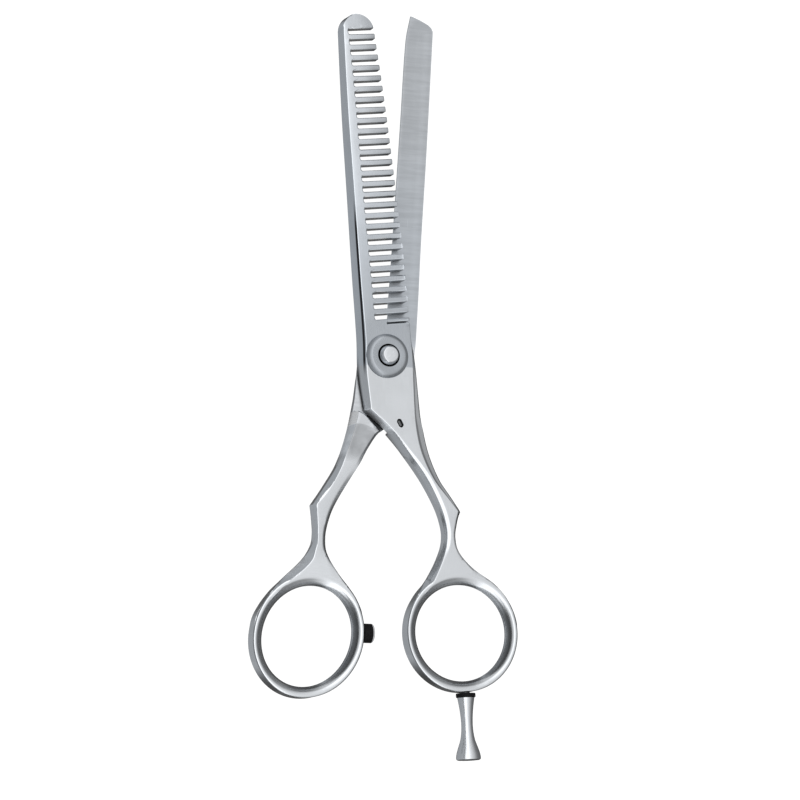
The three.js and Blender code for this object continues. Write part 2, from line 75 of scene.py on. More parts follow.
RUNNING_GAP = 0.05  # from the parting plane to each half's ride face
WALL = 0.95  # half height of the handles' upright side walls
ROW = 0.6  # spacing of mesh rows along the halves
BROW_SHARE = 0.45  # how much of a right-hand bevel's fall comes before its steepest part
BLADE_OUTER = 0.96  # height of a half's outer facet line as a share of its top, on the blades
HANDLE_OUTER = 0.86  # and on the handles
NECK_OUTER = 0.98  # and on the necks that run into the rings
NECK = (-40, -44)  # y over which a handle's facets turn into its neck's
SOFT = 0.1  # how far the rounding of a facet line reaches
LEAST = 0.15  # least thickness of a piece, at the foot of a chamfer or a rounded end
CHAMFER = 0.12  # on the edges of holes
LAP_CHAMFER = 0.25  # on the top edge of the lap's step
SLOT_CHAMFER = 0.19
SLOT_CHAMFER_DROP = 0.15
LAP_CORNER_Y = -11.9  # where each shank's narrow edge turns into its handle
KNUCKLE_Y = -33.2  # the pointed bump on the outside of each handle

# ---- Curves along the length ----


def curve(*knots):
    """A smooth function of y through (y, value) knots."""
    y, value = np.array(sorted(knots), float).T
    ends = (np.diff(value) / np.diff(y))[[0, -1]]
    slope = np.insert(ends, 1, (value[2:] - value[:-2]) / (y[2:] - y[:-2]))

    def at(where):
        where = np.clip(where, y[0], y[-1])
        i = np.clip(np.searchsorted(y, where, side="right") - 1, 0, len(y) - 2)
        span = y[i + 1] - y[i]
        t = (where - y[i]) / span
        rise = t * t * (3 - 2 * t)
        leaving = t * (1 - t) ** 2 * span * slope[i]
        arriving = t * t * (t - 1) * span * slope[i + 1]
        return value[i] * (1 - rise) + value[i + 1] * rise + leaving + arriving

    return at


def cornered(corner_y, upper, lower):
    """Two curves that meet at a corner."""
    return lambda y: np.where(y > corner_y, upper(y), lower(y))


def step(value, start, end):
    """0 before start and 1 after end, turning smoothly between them."""
    t = np.clip((value - start) / (end - start), 0, 1)
    return t * t * (3 - 2 * t)


def between(value, start, full, fading, end):
    """0 up to start, 1 from full to fading, and 0 again from end."""
    return step(value, start, full) * (1 - step(value, fading, end))


def mix(a, b, share):
    return a + (b - a) * share


def bisect(low, high, short, rounds):
    """The value between low and high up to which short is true, for each point."""
    for _ in range(rounds):
        middle = (low + high) / 2
        more = short(middle)
        low, high = np.where(more, middle, low), np.where(more, high, middle)
    return low


def lengthways(x, y, lean):
    """A point's distances along and across a line that leans from +X towards +Y."""
    c, s = math.cos(lean), math.sin(lean)
    return c * x + s * y, c * y - s * x


def laid(points, lean, place):
    """Points drawn along X, turned to lean from +X towards +Y and moved to their place."""
    c, s = math.cos(lean), math.sin(lean)
    return points @ np.array([[c, s], [-s, c]]) + place


def pairs(x, y):
    """Points from their x and y."""
    return np.column_stack([x, y])


def soft_max(a, b, reach):
    """The greater of two heights, with their crossing filleted."""
    return np.maximum(a, b) + np.clip(reach - abs(a - b), 0, None) ** 2 / (4 * reach)


# ---- Finger rings ----

RING_HALF_WIDTH = 1.22
RING_HALF_HEIGHT = 1.9
RING_EDGE = 1.62  # half height of the ring's upright outer wall
RING_CREST = 0.7  # how far outside the middle line the ring is thickest
RING_OUTSIDE = 2.6  # how square its outside corner is
RING_INSIDE = 1.4  # how full its rounded inside is: 1 is a straight slope, and 2 a quarter of an oval


class Ring:
    """An oval finger ring: its middle, its middle line's half widths, and its tilt."""

    def __init__(self, x, y, across, along, tilt):
        self.x, self.y, self.across, self.along, self.tilt = x, y, across, along, tilt

    def oval(self, offset, count=150):
        """Points round the oval that stands offset outside the ring's middle line."""
        turn = np.arange(count) / count * 2 * math.pi
        u = (self.across + offset) * np.cos(turn)
        v = (self.along + offset) * np.sin(turn)
        c, s = math.cos(self.tilt), math.sin(self.tilt)
        return np.stack([self.x + c * u - s * v, self.y + s * u + c * v], axis=1)

    def offset(self, x, y):
        """How far each point stands outside the middle line."""
        u, v = lengthways(x - self.x, y - self.y, self.tilt)

        def outside(offset):
            return (u / (self.across + offset)) ** 2 + (v / (self.along + offset)) ** 2 > 1

        return bisect(np.full_like(u, 0.5 - self.across), np.full_like(u, 200), outside, 40)

    def height(self, offset):
        """The ring's own section: an upright outer wall, a crest, and a fully rounded inside."""
        outward = np.clip((offset - RING_CREST) / (RING_HALF_WIDTH - RING_CREST), 0, 1)
        outside = RING_EDGE + (RING_HALF_HEIGHT - RING_EDGE) * (1 - outward ** RING_OUTSIDE)
        inward = np.clip((RING_CREST - offset) / (RING_HALF_WIDTH + RING_CREST), 0, 1)
        inside = RING_HALF_HEIGHT * (1 - inward ** RING_INSIDE) ** (1 / RING_INSIDE)
        beyond = 1 - step(offset, RING_HALF_WIDTH + 0.02, RING_HALF_WIDTH + 0.7)
        return np.where(offset > RING_CREST, outside * beyond, np.maximum(inside, 0.1))


TOOTHED_RADIUS = 11.72
toothed_ring = Ring(
    toothed_high[0] - TOOTHED_RADIUS - RING_HALF_WIDTH,
    toothed_low[1] + TOOTHED_RADIUS + RING_HALF_WIDTH,
    TOOTHED_RADIUS, TOOTHED_RADIUS, 0,
)
PLAIN_ACROSS, PLAIN_ALONG, PLAIN_TILT = 11.05, 12.45, math.radians(-31)


def tilted_reach(across, along, tilt):
    """How far a tilted oval reaches towards +X and towards +Y."""
    c, s = math.cos(tilt), math.sin(tilt)
    return math.hypot(across * c, along * s), math.hypot(across * s, along * c)


plain_reach = tilted_reach(PLAIN_ACROSS + RING_HALF_WIDTH, PLAIN_ALONG + RING_HALF_WIDTH, PLAIN_TILT)
plain_ring = Ring(
    plain_low[0] + plain_reach[0], plain_low[1] + plain_reach[1], PLAIN_ACROSS, PLAIN_ALONG, PLAIN_TILT,
)

# ---- Outlines of the two halves, and the lines where their facets meet ----

TIP_Y = 78.2
TOOTHED_END = -59.7  # y where each half's long body ends, level with its ring's middle
PLAIN_END = -61.6

# Each line is a function of y. The insets are from the outline: to the outer facet line and the ridge
# on the left, and to the shoulder and the brow of the bevel on the right. The feet are the heights at
# which the facets start, at the outline.
toothed = SimpleNamespace(
    ring=toothed_ring,
    left=cornered(
        LAP_CORNER_Y,
        curve((TIP_Y, -10.9), (54.5, -9.7), (36, -8.42), (17, -7.1), (4, -6.1), (-4, -5.8), (-11.9, -4.5)),
        curve(
            (-11.9, -4.5), (-16.3, 0.9), (-21.35, 5.15), (-26.45, 9), (-31.6, 12.05), (-35.1, 13.5),
            (-38.6, 14.15), (-42.1, 13.5), (-47.5, 10.75), (-52.9, 7.2), (-56.4, 5.85), (TOOTHED_END, 5.27),
        ),
    ),
    right=cornered(
        KNUCKLE_Y,
        curve(
            (TIP_Y, -3.6), (64.3, -1.32), (45.4, 1.3), (24.2, 3.82), (8, 5.49), (0, 7.1), (-10.8, 8.5),
            (-16.1, 9.3), (-21.3, 10.7), (-26.5, 13.1), (-29.9, 15.6), (-33.2, 18),
        ),
        curve(
            (-33.2, 18), (-35.6, 17.4), (-38.7, 17), (-42.1, 17.9), (-45.5, 21.1), (-48.8, 26.1),
            (-52.2, 29.1), (-55.7, 30.75), (TOOTHED_END, 31.14),
        ),
    ),
    top=curve((TIP_Y, 2.35), (40, 2.7), (0, 3), (-12, 2.9), (-25, 2.3), (-36, 2.1), (TOOTHED_END, 1.9)),
    left_inset=curve(
        (TIP_Y, 0.5), (10, 1), (-4, 1.1), (-11.9, 0.8), (-17, 0.4), (-25, 0.95), (-32, 0.65),
        (-38.8, 0.4), (-42, 0.6), (-46, 1.1), (-50, 1.45), (-54, 1.3), (TOOTHED_END, 0.7),
    ),
    ridge_inset=curve(
        (TIP_Y, 0.7), (10, 1.2), (-4, 1.35), (-11.9, 1.05), (-17, 0.9), (-25, 1.75), (-32, 1.45),
        (-38.8, 1.2), (-42, 1.2), (-46, 1.3), (-50, 1.6), (-54, 1.45), (TOOTHED_END, 0.85),
    ),
    right_inset=curve(
        (TIP_Y, 0.14), (9, 0.14), (3, 0.8), (-2, 1.35), (-13, 2.15), (-20, 2.25), (-28, 1.7), (-33.2, 1),
        (-40, 0.6), (TOOTHED_END, 0.45),
    ),
    brow_inset=curve((TIP_Y, 0.05), (9, 0.05), (-2, 0.15), (-13, 0.4), (-20, 0.55), (TOOTHED_END, 0.2)),
    left_foot=curve(
        (TIP_Y, WALL), (-42, WALL), (-46, 0.5), (-51, 0.5), (-54, 1.1), (-57, 1.6), (TOOTHED_END, 1.6),
    ),
    right_foot=curve((TIP_Y, 2.2), (40, 2.55), (9, 2.8), (3, 0), (TOOTHED_END, 0)),
)

plain = SimpleNamespace(
    ring=plain_ring,
    left=cornered(
        KNUCKLE_Y,
        curve(
            (TIP_Y, 6.75), (72.4, 5.65), (53.9, 4.39), (36, 3.15), (12, 1.4), (7.5, 0.6), (5.4, -3.4),
            (2, -5.2), (-2.5, -5.8), (-9.6, -6.4), (-16.8, -8), (-23.9, -10.5), (-29.4, -13.8),
            (-33.2, -16.4),
        ),
        curve(
            (-33.2, -16.4), (-36.4, -16), (-39, -15.85), (-41.7, -16.25), (-45.2, -18.5), (-50.6, -24.1),
            (-54.2, -27.05), (-57.7, -29.1), (PLAIN_END, -29.9),
        ),
    ),
    right=cornered(
        LAP_CORNER_Y,
        curve(
            (TIP_Y, 12.25), (68.4, 11.72), (45.4, 10.41), (27, 9.22), (9, 8.23), (0, 7.4), (-11.9, 4.3),
        ),
        curve(
            (-11.9, 4.3), (-16.3, -0.25), (-16.95, -1.35), (-22.1, -4.7), (-27.6, -8.2), (-33, -11.2),
            (-36.5, -12.55), (-40, -13.25), (-43.5, -12.85), (-48.5, -9.75), (-53.6, -6.05),
            (-57.7, -4.95), (PLAIN_END, -4.7),
        ),
    ),
    top=curve((TIP_Y, 2.35), (40, 2.7), (0, 3), (-12, 2.8), (-25, 2.3), (-36, 2.1), (PLAIN_END, 1.9)),
    left_inset=curve(
        (TIP_Y, 2.6), (20, 3.2), (6, 2.4), (-6, 0.6), (-20, 0.3), (-24, 0.5), (-28, 0.8), (-33.2, 0.35),
        (-40, 0.3), (-43, 0.9), (-45.2, 1.9), (-47.4, 2.15), (-49.6, 1.85), (-51.8, 1.3), (-54, 0.9),
        (PLAIN_END, 0.5),
    ),
    ridge_inset=curve(
        (TIP_Y, 3.4), (20, 4.2), (6, 3.2), (-6, 0.9), (-20, 0.5), (-24, 0.7), (-28.7, 1.15),
        (-31.4, 1.1), (-33.8, 0.6), (-36, 0.45), (-40, 0.45), (-43, 1.05), (-45.2, 2.1), (-47.4, 2.35),
        (-49.6, 2.05), (-51.8, 1.5), (-54, 1.1), (PLAIN_END, 0.65),
    ),
    right_inset=curve((TIP_Y, 0.9), (0, 1.1), (-12, 1), (-30, 0.9), (-45, 0.8), (PLAIN_END, 0.4)),
    brow_inset=curve((TIP_Y, 0.45), (PLAIN_END, 0.2)),
    left_foot=curve(
        (TIP_Y, WALL), (-40, WALL), (-43.5, 0.5), (-46, 0.15), (-49, 0.2), (-52, 0.55), (-55, 1.2),
        (-58, 1.6), (PLAIN_END, 1.6),
    ),
    right_foot=curve((TIP_Y, 0), (PLAIN_END, 0)),
)


def wall_lean(y):
    """How far a side wall leans in over its height: 1 on the blades, 0 on the handles."""
    return step(y, LAP_CORNER_Y - 4, LAP_CORNER_Y)


def facet_lines(half, y):
    """The facet lines across a half at y, from left to right: where each is and how high."""
    left, right, top, lean = half.left(y), half.right(y), half.top(y), wall_lean(y)
    middle = (left + right) / 2
    ridge = np.minimum(left + half.ridge_inset(y), middle)
    outer = np.minimum(left + half.left_inset(y), ridge - 0.1)
    shoulder = np.maximum(right - half.right_inset(y), middle + 0.1)
    brow = np.maximum(right - half.brow_inset(y), shoulder + 0.05)
    left_foot = half.left_foot(y) * (1 - lean)
    right_foot = np.maximum(WALL * (1 - lean), half.right_foot(y))
    outer_top = top * mix(mix(HANDLE_OUTER, NECK_OUTER, step(y, *NECK)), BLADE_OUTER, lean)
    places = [left, outer, ridge, shoulder, brow, right]
    heights = [left_foot, outer_top, top, top, mix(top, right_foot, BROW_SHARE), right_foot]
    return places, heights


def across(x, places, heights):
    """The height at x of a section through these places, straight between them."""
    z = heights[0] + 0 * x
    for i in range(len(places) - 1):
        share = np.clip((x - places[i]) / np.maximum(places[i + 1] - places[i], 1e-6), 0, 1)
        z = np.where(x >= places[i], mix(heights[i], heights[i + 1], share), z)
    return z


def facets(half, x, y):
    """The faceted section's height with its lines a little rounded."""
    places, heights = facet_lines(half, y)
    around = [across(x + shift, places, heights) for shift in (-SOFT, 0, 0, SOFT)]
    return sum(around) / len(around)


RING_RUN_Y = (-36, -44)  # y over which a handle's height comes to be held down towards its ring
RING_RUN_RISE = 0.06  # how fast it may then rise again, going away from the ring
RING_FILLET = 0.2
RING_JOIN = (0.5, 9)  # how far above a ring's middle its outer side starts to join the handle, and has


def body_height(half, section, x, y):
    """Half thickness of a half: its long body's section, run into its finger ring."""
    ring = half.ring
    offset = ring.offset(x, y)
    ring_z = ring.height(offset)
    long_z = section(x, y)
    near_ring = RING_HALF_HEIGHT + RING_RUN_RISE * np.clip(offset, 0, None)
    long_z = mix(long_z, np.minimum(long_z, near_ring), step(y, *RING_RUN_Y))
    joined = soft_max(long_z, ring_z, RING_FILLET)
    above_middle = step(y - ring.y, *RING_JOIN) * step(offset, 0, 0.5)
    off_ring = step(offset, RING_HALF_WIDTH, RING_HALF_WIDTH + RING_FILLET)
    return mix(ring_z, joined, np.maximum(above_middle, off_ring))


# ---- The stepped edge of the lap ----

LAP_EDGE = np.array([
    (60, -12.2), (7.4, -12.2), (6.4, -12.25), (5.5, -12.6), (4.5, -13.35), (1.2, -16.75), (-3.5, -21.6),
    (-60, -21.6),
])
LAP_WALL = 0.14  # how far the step's wall leans


def lap_edge(side):
    return LAP_EDGE * [side, 1]


def beyond_lap(x, y, side):
    """How far past the lap's stepped edge each point is, towards the rings; negative within the lap."""
    best = np.full_like(x, 1e9)
    edge = lap_edge(side)
    for (ax, ay), (bx, by) in zip(edge[:-1], edge[1:]):
        dx, dy = bx - ax, by - ay
        share = np.clip(((x - ax) * dx + (y - ay) * dy) / (dx * dx + dy * dy), 0, 1)
        best = np.minimum(best, np.hypot(x - ax - share * dx, y - ay - share * dy))
    order = np.argsort(edge[:, 0])
    edge_y = np.interp(x, edge[order, 0], edge[order, 1])
    return np.where(y < edge_y, best, -best)


# ---- A solid from a plan: a triangulated flat region, raised to an upper and a lower height ----

CRISP_ANGLE = math.radians(28)


class Plan:
    """A flat region, with the lines its triangles must follow."""

    def __init__(self):
        self.points, self.edges, self.solids, self.holes = [], [], [], []

    def line(self, points, closed=False):
        first = len(self.points)
        self.points.extend(map(tuple, points))
        last = len(self.points) - 1
        self.edges.extend((i, i + 1) for i in range(first, last))
        if closed:
            self.edges.append((last, first))

    def scatter(self, points):
        self.points.extend(map(tuple, points))

    def solid(self, points):
        self.line(points, closed=True)
        self.solids.append(np.array(points))

    def hole(self, points):
        self.line(points, closed=True)
        self.holes.append(np.array(points))

    def triangles(self):
        """The region's points and its triangles, each anticlockwise."""
        flat = [Vector(point) for point in self.points]
        points, _, faces, _, _, _ = delaunay_2d_cdt(flat, self.edges, [], 0, 1e-5, False)
        points = np.array([tuple(point) for point in points])
        faces = np.array(faces)
        middles = points[faces].mean(axis=1)
        kept = np.zeros(len(faces), bool)
        for shape in self.solids:
            kept |= inside(middles, shape)
        for shape in self.holes:
            kept &= ~inside(middles, shape)
        faces = faces[kept]
        a, b, c = (points[faces[:, i]] for i in range(3))
        turn = (b - a)[:, 0] * (c - a)[:, 1] - (b - a)[:, 1] * (c - a)[:, 0]
        faces[turn < 0] = faces[turn < 0][:, ::-1]
        used, faces = np.unique(faces, return_inverse=True)
        return points[used], faces.reshape(-1, 3)


def inside(points, polygon):
    """Which points lie inside a closed polygon."""
    ax, ay = polygon.T
    bx, by = np.roll(polygon, -1, axis=0).T
    rise = np.where(ay == by, 1, by - ay)
    found = np.zeros(len(points), bool)
    for start in range(0, len(points), 4000):
        x, y = points[start:start + 4000, 0:1], points[start:start + 4000, 1:2]
        crosses = (ay > y) != (by > y)
        at = ax + (y - ay) * (bx - ax) / rise
        found[start:start + 4000] = ((x < at) & crosses).sum(axis=1) % 2 == 1
    return found


def raised(plan, heights):
    """A closed shape over a plan. heights gives the lower and upper height at points x, y."""
    points, faces = plan.triangles()
    lower, upper = heights(points[:, 0], points[:, 1])
    count = len(points)
    above = np.column_stack([points, upper])
    below = np.column_stack([points, lower])
    edges = {(a, b) for face in faces for a, b in zip(face, np.roll(face, -1))}
    rim = [(a, b) for a, b in edges if (b, a) not in edges]
    walls = [(a + count, b + count, b, a) for a, b in sorted(rim)]
    underside = faces[:, ::-1] + count
    return np.vstack([above, below]), [*faces.tolist(), *underside.tolist(), *walls]


def placed(name, data):
    """A new object in the scene."""
    item = bpy.data.objects.new(name, data)
    bpy.context.scene.collection.objects.link(item)
    return item


def make(name, points, faces):
    """A smooth-shaded object in metres, with its sharper edges kept crisp."""
    mesh = bpy.data.meshes.new(name)
    lifted = (np.asarray(points) + [0, 0, PARTING]) * MM
    mesh.from_pydata(lifted.tolist(), [], faces)
    mesh.validate()
    mesh.shade_smooth()
    mesh.set_sharp_from_angle(angle=CRISP_ANGLE)
    piece = placed(name, mesh)
    even = piece.modifiers.new("weighted_normals", "WEIGHTED_NORMAL")
    even.keep_sharp = True
    return piece


# ---- Plans of the halves ----


def rows(top_y, bottom_y):
    """Row heights from one y down to another, through both corners of the outline."""
    stops = [top_y, LAP_CORNER_Y, KNUCKLE_Y, bottom_y]
    parts = []
    for high, low in zip(stops[:-1], stops[1:]):
        parts.append(np.linspace(high, low, max(2, round((high - low) / ROW)), endpoint=False))
    return np.append(np.concatenate(parts), bottom_y)


def clear_of_ring(half, points):
    """Drops the points that stand where the ring has its own."""
    points = np.array(points)
    offset = half.ring.offset(points[:, 0], points[:, 1])
    return points[offset > RING_HALF_WIDTH + 0.15]


def add_long_body(plan, half, y):
    """The rows of points across a half, and the facet lines that run down it."""
    places, _ = facet_lines(half, y)
    left, outer, ridge, shoulder, brow, right = places
    for place in (outer, ridge, shoulder, brow):
        for shift in (-SOFT, 0, SOFT):
            plan.line(clear_of_ring(half, pairs(place + shift, y)))
    gaps = [(left, outer, 2), (outer, ridge, 3), (ridge, shoulder, 9), (shoulder, brow, 3)]
    for a, b, count in gaps:
        for share in np.arange(1, count) / count:
            plan.scatter(clear_of_ring(half, pairs(mix(a, b, share), y)))


def add_ring(plan, half):
    plan.solid(half.ring.oval(RING_HALF_WIDTH))
    plan.hole(half.ring.oval(-RING_HALF_WIDTH))
    shares = np.sin(np.linspace(-math.pi / 2, math.pi / 2, 15))[1:-1]
    for share in shares:
        plan.line(half.ring.oval(share * RING_HALF_WIDTH), closed=True)


def circle(radius, count=72):
    turn = np.arange(count) / count * 2 * math.pi
    return pairs(radius * np.cos(turn), radius * np.sin(turn))


def arc(x, y, radius, start, end, count):
    turn = np.radians(np.linspace(start, end, count))
    return pairs(x + radius * np.cos(turn), y + radius * np.sin(turn))


# ---- Toothed half ----

TIP_FOOT = (-6.65, 72.75, 3.95)  # rounded end at the parting plane: x, y and radius
TIP_HEAD = (-6.3, 73.3, 3.62)  # and at TIP_HEAD_Z
TIP_HEAD_Z = 4
SLOTS = 28
SLOT_WIDTH = 1.25
SLOT_RISE = math.radians(8)
SLOT_ROOT_RADIUS = 0.35
SLOT_REACH = 14  # from a slot's root to well past the tooth tips
FIRST_SLOT = (-4.96, 72.96)  # middle of the slot nearest the tip
LAST_SLOT = (-0.23, 8.86)
END_SLOT = (0.1, 7.35, 0.45)  # root x, y and width of the fine slot behind the last tooth
BUSH_HOLE = 2.75
MARK = (3.2, -14.6)
MARK_RADIUS = 0.62
MARK_HALF_LENGTH = 0.4
MARK_LEAN = math.radians(-60)
MARK_DEPTH = 0.4
MARK_EDGE = 0.2  # how far in from its outline the mark reaches its full depth
CROWN_FROM_SPINE = 2.6  # how far in from the spine the blade's crest is, by the pivot
CROWN_FROM_ROOTS = 0.2  # how far it is from the slot roots, further up
CROWN_TO_SPINE = 0.14  # how far the toothed blade's top falls from its crest to the spine
CROWN_TO_TEETH = 0.3  # and to the tooth tips

slot_root = curve((73, -8.95), (63, -7.78), (35, -5.35), (22.7, -4.13), (8, -2.75))


def slot_list():
    """Each slot as the x and y of its root and its width."""
    along = np.arange(SLOTS) / (SLOTS - 1)
    x, y = (mix(first, last, along) for first, last in zip(FIRST_SLOT, LAST_SLOT))
    root = slot_root(y)
    root_y = y - (x - root) * math.tan(SLOT_RISE)
    return [*zip(root, root_y, [SLOT_WIDTH] * SLOTS), END_SLOT]


slots = slot_list()


def root_radius(width):
    """Radius of the corners at a slot's root."""
    return min(SLOT_ROOT_RADIUS, 0.9 * width / 2)


def slot_shape(root_x, y, width, grow=0.0):
    """A slot's outline, open past the tooth tips, with a rounded root."""
    half = width / 2 + grow
    radius = root_radius(width) + grow
    lower = arc(radius - grow, radius - half, radius, 180, 270, 5)
    upper = arc(radius - grow, half - radius, radius, 90, 180, 5)
    outline = np.vstack([upper, lower, [(SLOT_REACH, -half), (SLOT_REACH, half)]])
    return laid(outline, SLOT_RISE, [root_x, y])


def slot_distance(x, y):
    """How far each point is outside the nearest slot."""
    nearest = np.full_like(x, 1e9)
    for root_x, root_y, width in slots:
        radius = root_radius(width)
        u, v = lengthways(x - root_x, y - root_y, SLOT_RISE)
        du, dv = radius - u, abs(v) - (width / 2 - radius)
        away = np.hypot(np.clip(du, 0, None), np.clip(dv, 0, None)) + np.minimum(np.maximum(du, dv), 0)
        nearest = np.minimum(nearest, away - radius)
    return nearest


def tip_height(x, y):
    """Height at which the leaning wall of the rounded tip passes over each point."""
    def within(z):
        middle_x, middle_y, radius = (mix(a, b, z / TIP_HEAD_Z) for a, b in zip(TIP_FOOT, TIP_HEAD))
        return np.hypot(x - middle_x, y - middle_y) < radius

    height = bisect(np.zeros_like(x), np.full_like(x, TIP_HEAD_Z), within, 30)
    return np.where(y < TIP_FOOT[1], 99, height)


def crown(x, y):
    """How far the toothed blade's top falls away from the crest that runs by the slot roots."""
    half = toothed
    crest = mix(half.left(y) + CROWN_FROM_SPINE, slot_root(y) - CROWN_FROM_ROOTS, step(y, 0, 12))
    edge = half.left(y) + half.left_inset(y)
    towards_spine = np.clip((crest - x) / (crest - edge), 0, 1.2)
    towards_teeth = np.clip((x - crest) / (half.right(y) - crest), 0, 1)
    return step(y, 3, 12) * (CROWN_TO_SPINE * towards_spine ** 2 + CROWN_TO_TEETH * towards_teeth ** 1.5)


def mark_distance(x, y):
    """How far each point is outside the middle line of the obround mark."""
    u, v = lengthways(x - MARK[0], y - MARK[1], MARK_LEAN)
    return np.hypot(u - np.clip(u, -MARK_HALF_LENGTH, MARK_HALF_LENGTH), v)


def mark_outline(radius):
    right = arc(MARK_HALF_LENGTH, 0, radius, -90, 90, 13)
    left = arc(-MARK_HALF_LENGTH, 0, radius, 90, 270, 13)
    return laid(np.vstack([right, left]), MARK_LEAN, MARK)


ROLL_WIDTH = 1.1
ROLL_DEPTH = 1.2
ROLL_BEND = 1.3  # 1 is a flat slope, and more is hollow at its top
ROLL_FADE = (-51, -46)  # y over which it fades out at the ring
TOOTHED_ROLL_Y = (-32.5, -35)  # y where the toothed half's roll starts and is full
TOOTHED_ROLL = 0.7  # its depth as a share of the plain half's
PLAIN_ROLL_Y = (-24, -36)  # the same for the plain half's
LEAST_SECTION = 0.4  # a rolled edge never comes nearer to the parting plane than this


def edge_roll(half, x, y, start, full):
    """A steeply rolled right-hand edge on the thin part of a handle, from start to full and to the ring."""
    share = np.clip(1 - (half.right(y) - x) / ROLL_WIDTH, 0, 1)
    return ROLL_DEPTH * share ** ROLL_BEND * step(y, start, full) * step(y, *ROLL_FADE)


def toothed_section(x, y):
    z = facets(toothed, x, y) - crown(x, y)
    return np.maximum(z - TOOTHED_ROLL * edge_roll(toothed, x, y, *TOOTHED_ROLL_Y), LEAST_SECTION)


def toothed_heights(x, y):
    """Lower and upper heights of the toothed half."""
    thickness = body_height(toothed, toothed_section, x, y)
    thickness = np.minimum(thickness, tip_height(x, y))
    beyond = np.clip(beyond_lap(x, y, 1) / LAP_WALL, 0, 1)
    lower = mix(RUNNING_GAP, -thickness, beyond)
    bore_distance = np.hypot(x, y) - BUSH_HOLE
    near_bore = np.clip(1 - bore_distance / CHAMFER, 0, 1)
    near_slot = np.clip(1 - slot_distance(x, y) / SLOT_CHAMFER, 0, 1)
    mark = 1 - step(mark_distance(x, y), MARK_RADIUS - MARK_EDGE, MARK_RADIUS)
    upper = thickness - CHAMFER * near_bore - SLOT_CHAMFER_DROP * near_slot - MARK_DEPTH * mark
    return lower, np.maximum(upper, lower + LEAST)


def toothed_plan():
    plan = Plan()
    half = toothed
    x, y, radius = TIP_FOOT
    ys = rows(y, half.ring.y)
    left = pairs(half.left(ys), ys)
    right = pairs(half.right(ys), ys)
    plan.solid(np.vstack([left[::-1], arc(x, y, radius, 180, 0, 40)[1:-1], right]))
    add_long_body(plan, half, ys)
    for inward in (0.35, 0.42, 0.55, 0.8, 1.4, 2.1, 2.8, 3.4):
        plan.line(arc(x + 0.1, y + 0.15, radius - inward, 176, 4, 34))
    add_ring(plan, half)
    for root_x, root_y, width in slots:
        plan.hole(slot_shape(root_x, root_y, width))
        plan.line(slot_shape(root_x, root_y, width, SLOT_CHAMFER))
    plan.hole(circle(BUSH_HOLE))
    plan.line(circle(BUSH_HOLE + CHAMFER), closed=True)
    for inset in (0, 0.07, 0.13, MARK_EDGE):
        plan.line(mark_outline(MARK_RADIUS - inset), closed=True)
    add_lap_lines(plan, half, 1)
    return plan


def add_lap_lines(plan, half, side):
    """Lines along the foot and the top of the lap's step, inside the half's outline."""
    edge = lap_edge(side)
    lengths = np.append(0, np.cumsum(np.hypot(*np.diff(edge, axis=0).T)))
    along = np.arange(0, lengths[-1], 0.25)
    x, y = (np.interp(along, lengths, places) for places in edge.T)
    points = pairs(x, y)
    within = (x > half.left(y) - 0.5) & (x < half.right(y) + 0.5)
    plan.line(points[within])
    ways = np.gradient(points, axis=0)
    ways = ways / np.hypot(*ways.T)[:, None]
    across_step = pairs(ways[:, 1], -ways[:, 0])
    across_step[across_step[:, 1] > 0] *= -1
    for reach in (LAP_WALL, LAP_WALL + LAP_CHAMFER):
        plan.line((points + across_step * reach)[within])


# ---- Plain half ----

PLAIN_BORE = 2.08
FACE_FALL = 0.35  # how far the handle's face falls from its ridge to its right edge
FACE_FALL_Y = (-47, -42, -25, -20)  # y where that fall starts, is full, fades and ends
SCOOP = (-23.8, -21.5, -15.6, -14.6)  # y where the ground scoop starts, is full, fades and ends
SCOOP_DEPTH = 0.4
SCOOP_MIDDLE = -6.4
SCOOP_BOW = 0.07  # its upper end is an arc: how far y falls per square millimetre from the middle
GLIDE_RECESS_RADIUS = 4.15
GLIDE_RECESS_DEPTH = 0.35
RECESS_WALL = 0.03  # how far a recess's wall leans
HOLLOW_DEPTH = 0.06  # of the hollow ground along the ride face
HOLLOW_LEFT = (0.5, 2.3)  # how far in from the left edge it starts and is full
HOLLOW_RIGHT = (0.6, 2.4)  # and from the right edge
HOLLOW_Y = (8, 12, 74, 76)  # y where it starts, is full, fades and ends
TIP_CORNER = [(7.0, 78.1), (9.1, 77.35), (10.9, 76.5), (11.65, 75.9), (12.05, 75.1)]


def plain_section(x, y):
    """Facets on the blade; on the handle, a ridge with a falling face to its right and a ground scoop."""
    half = plain
    z = facets(half, x, y)
    ridge = half.left(y) + half.ridge_inset(y)
    right = half.right(y)
    share = np.clip((x - ridge) / (right - ridge), 0, 1)
    top = half.top(y)
    falling = top - FACE_FALL * share ** 2
    z = mix(z, falling, between(y, *FACE_FALL_Y) * step(x - ridge, 0, 0.3))
    z = np.maximum(z - edge_roll(half, x, y, *PLAIN_ROLL_Y), LEAST_SECTION)
    bowed = y + SCOOP_BOW * (x - SCOOP_MIDDLE) ** 2
    scoop = step(y, SCOOP[0], SCOOP[1]) * (1 - step(bowed, SCOOP[2], SCOOP[3]))
    return z - SCOOP_DEPTH * scoop * step(x, half.left(y) - 1, half.left(y) + 4)


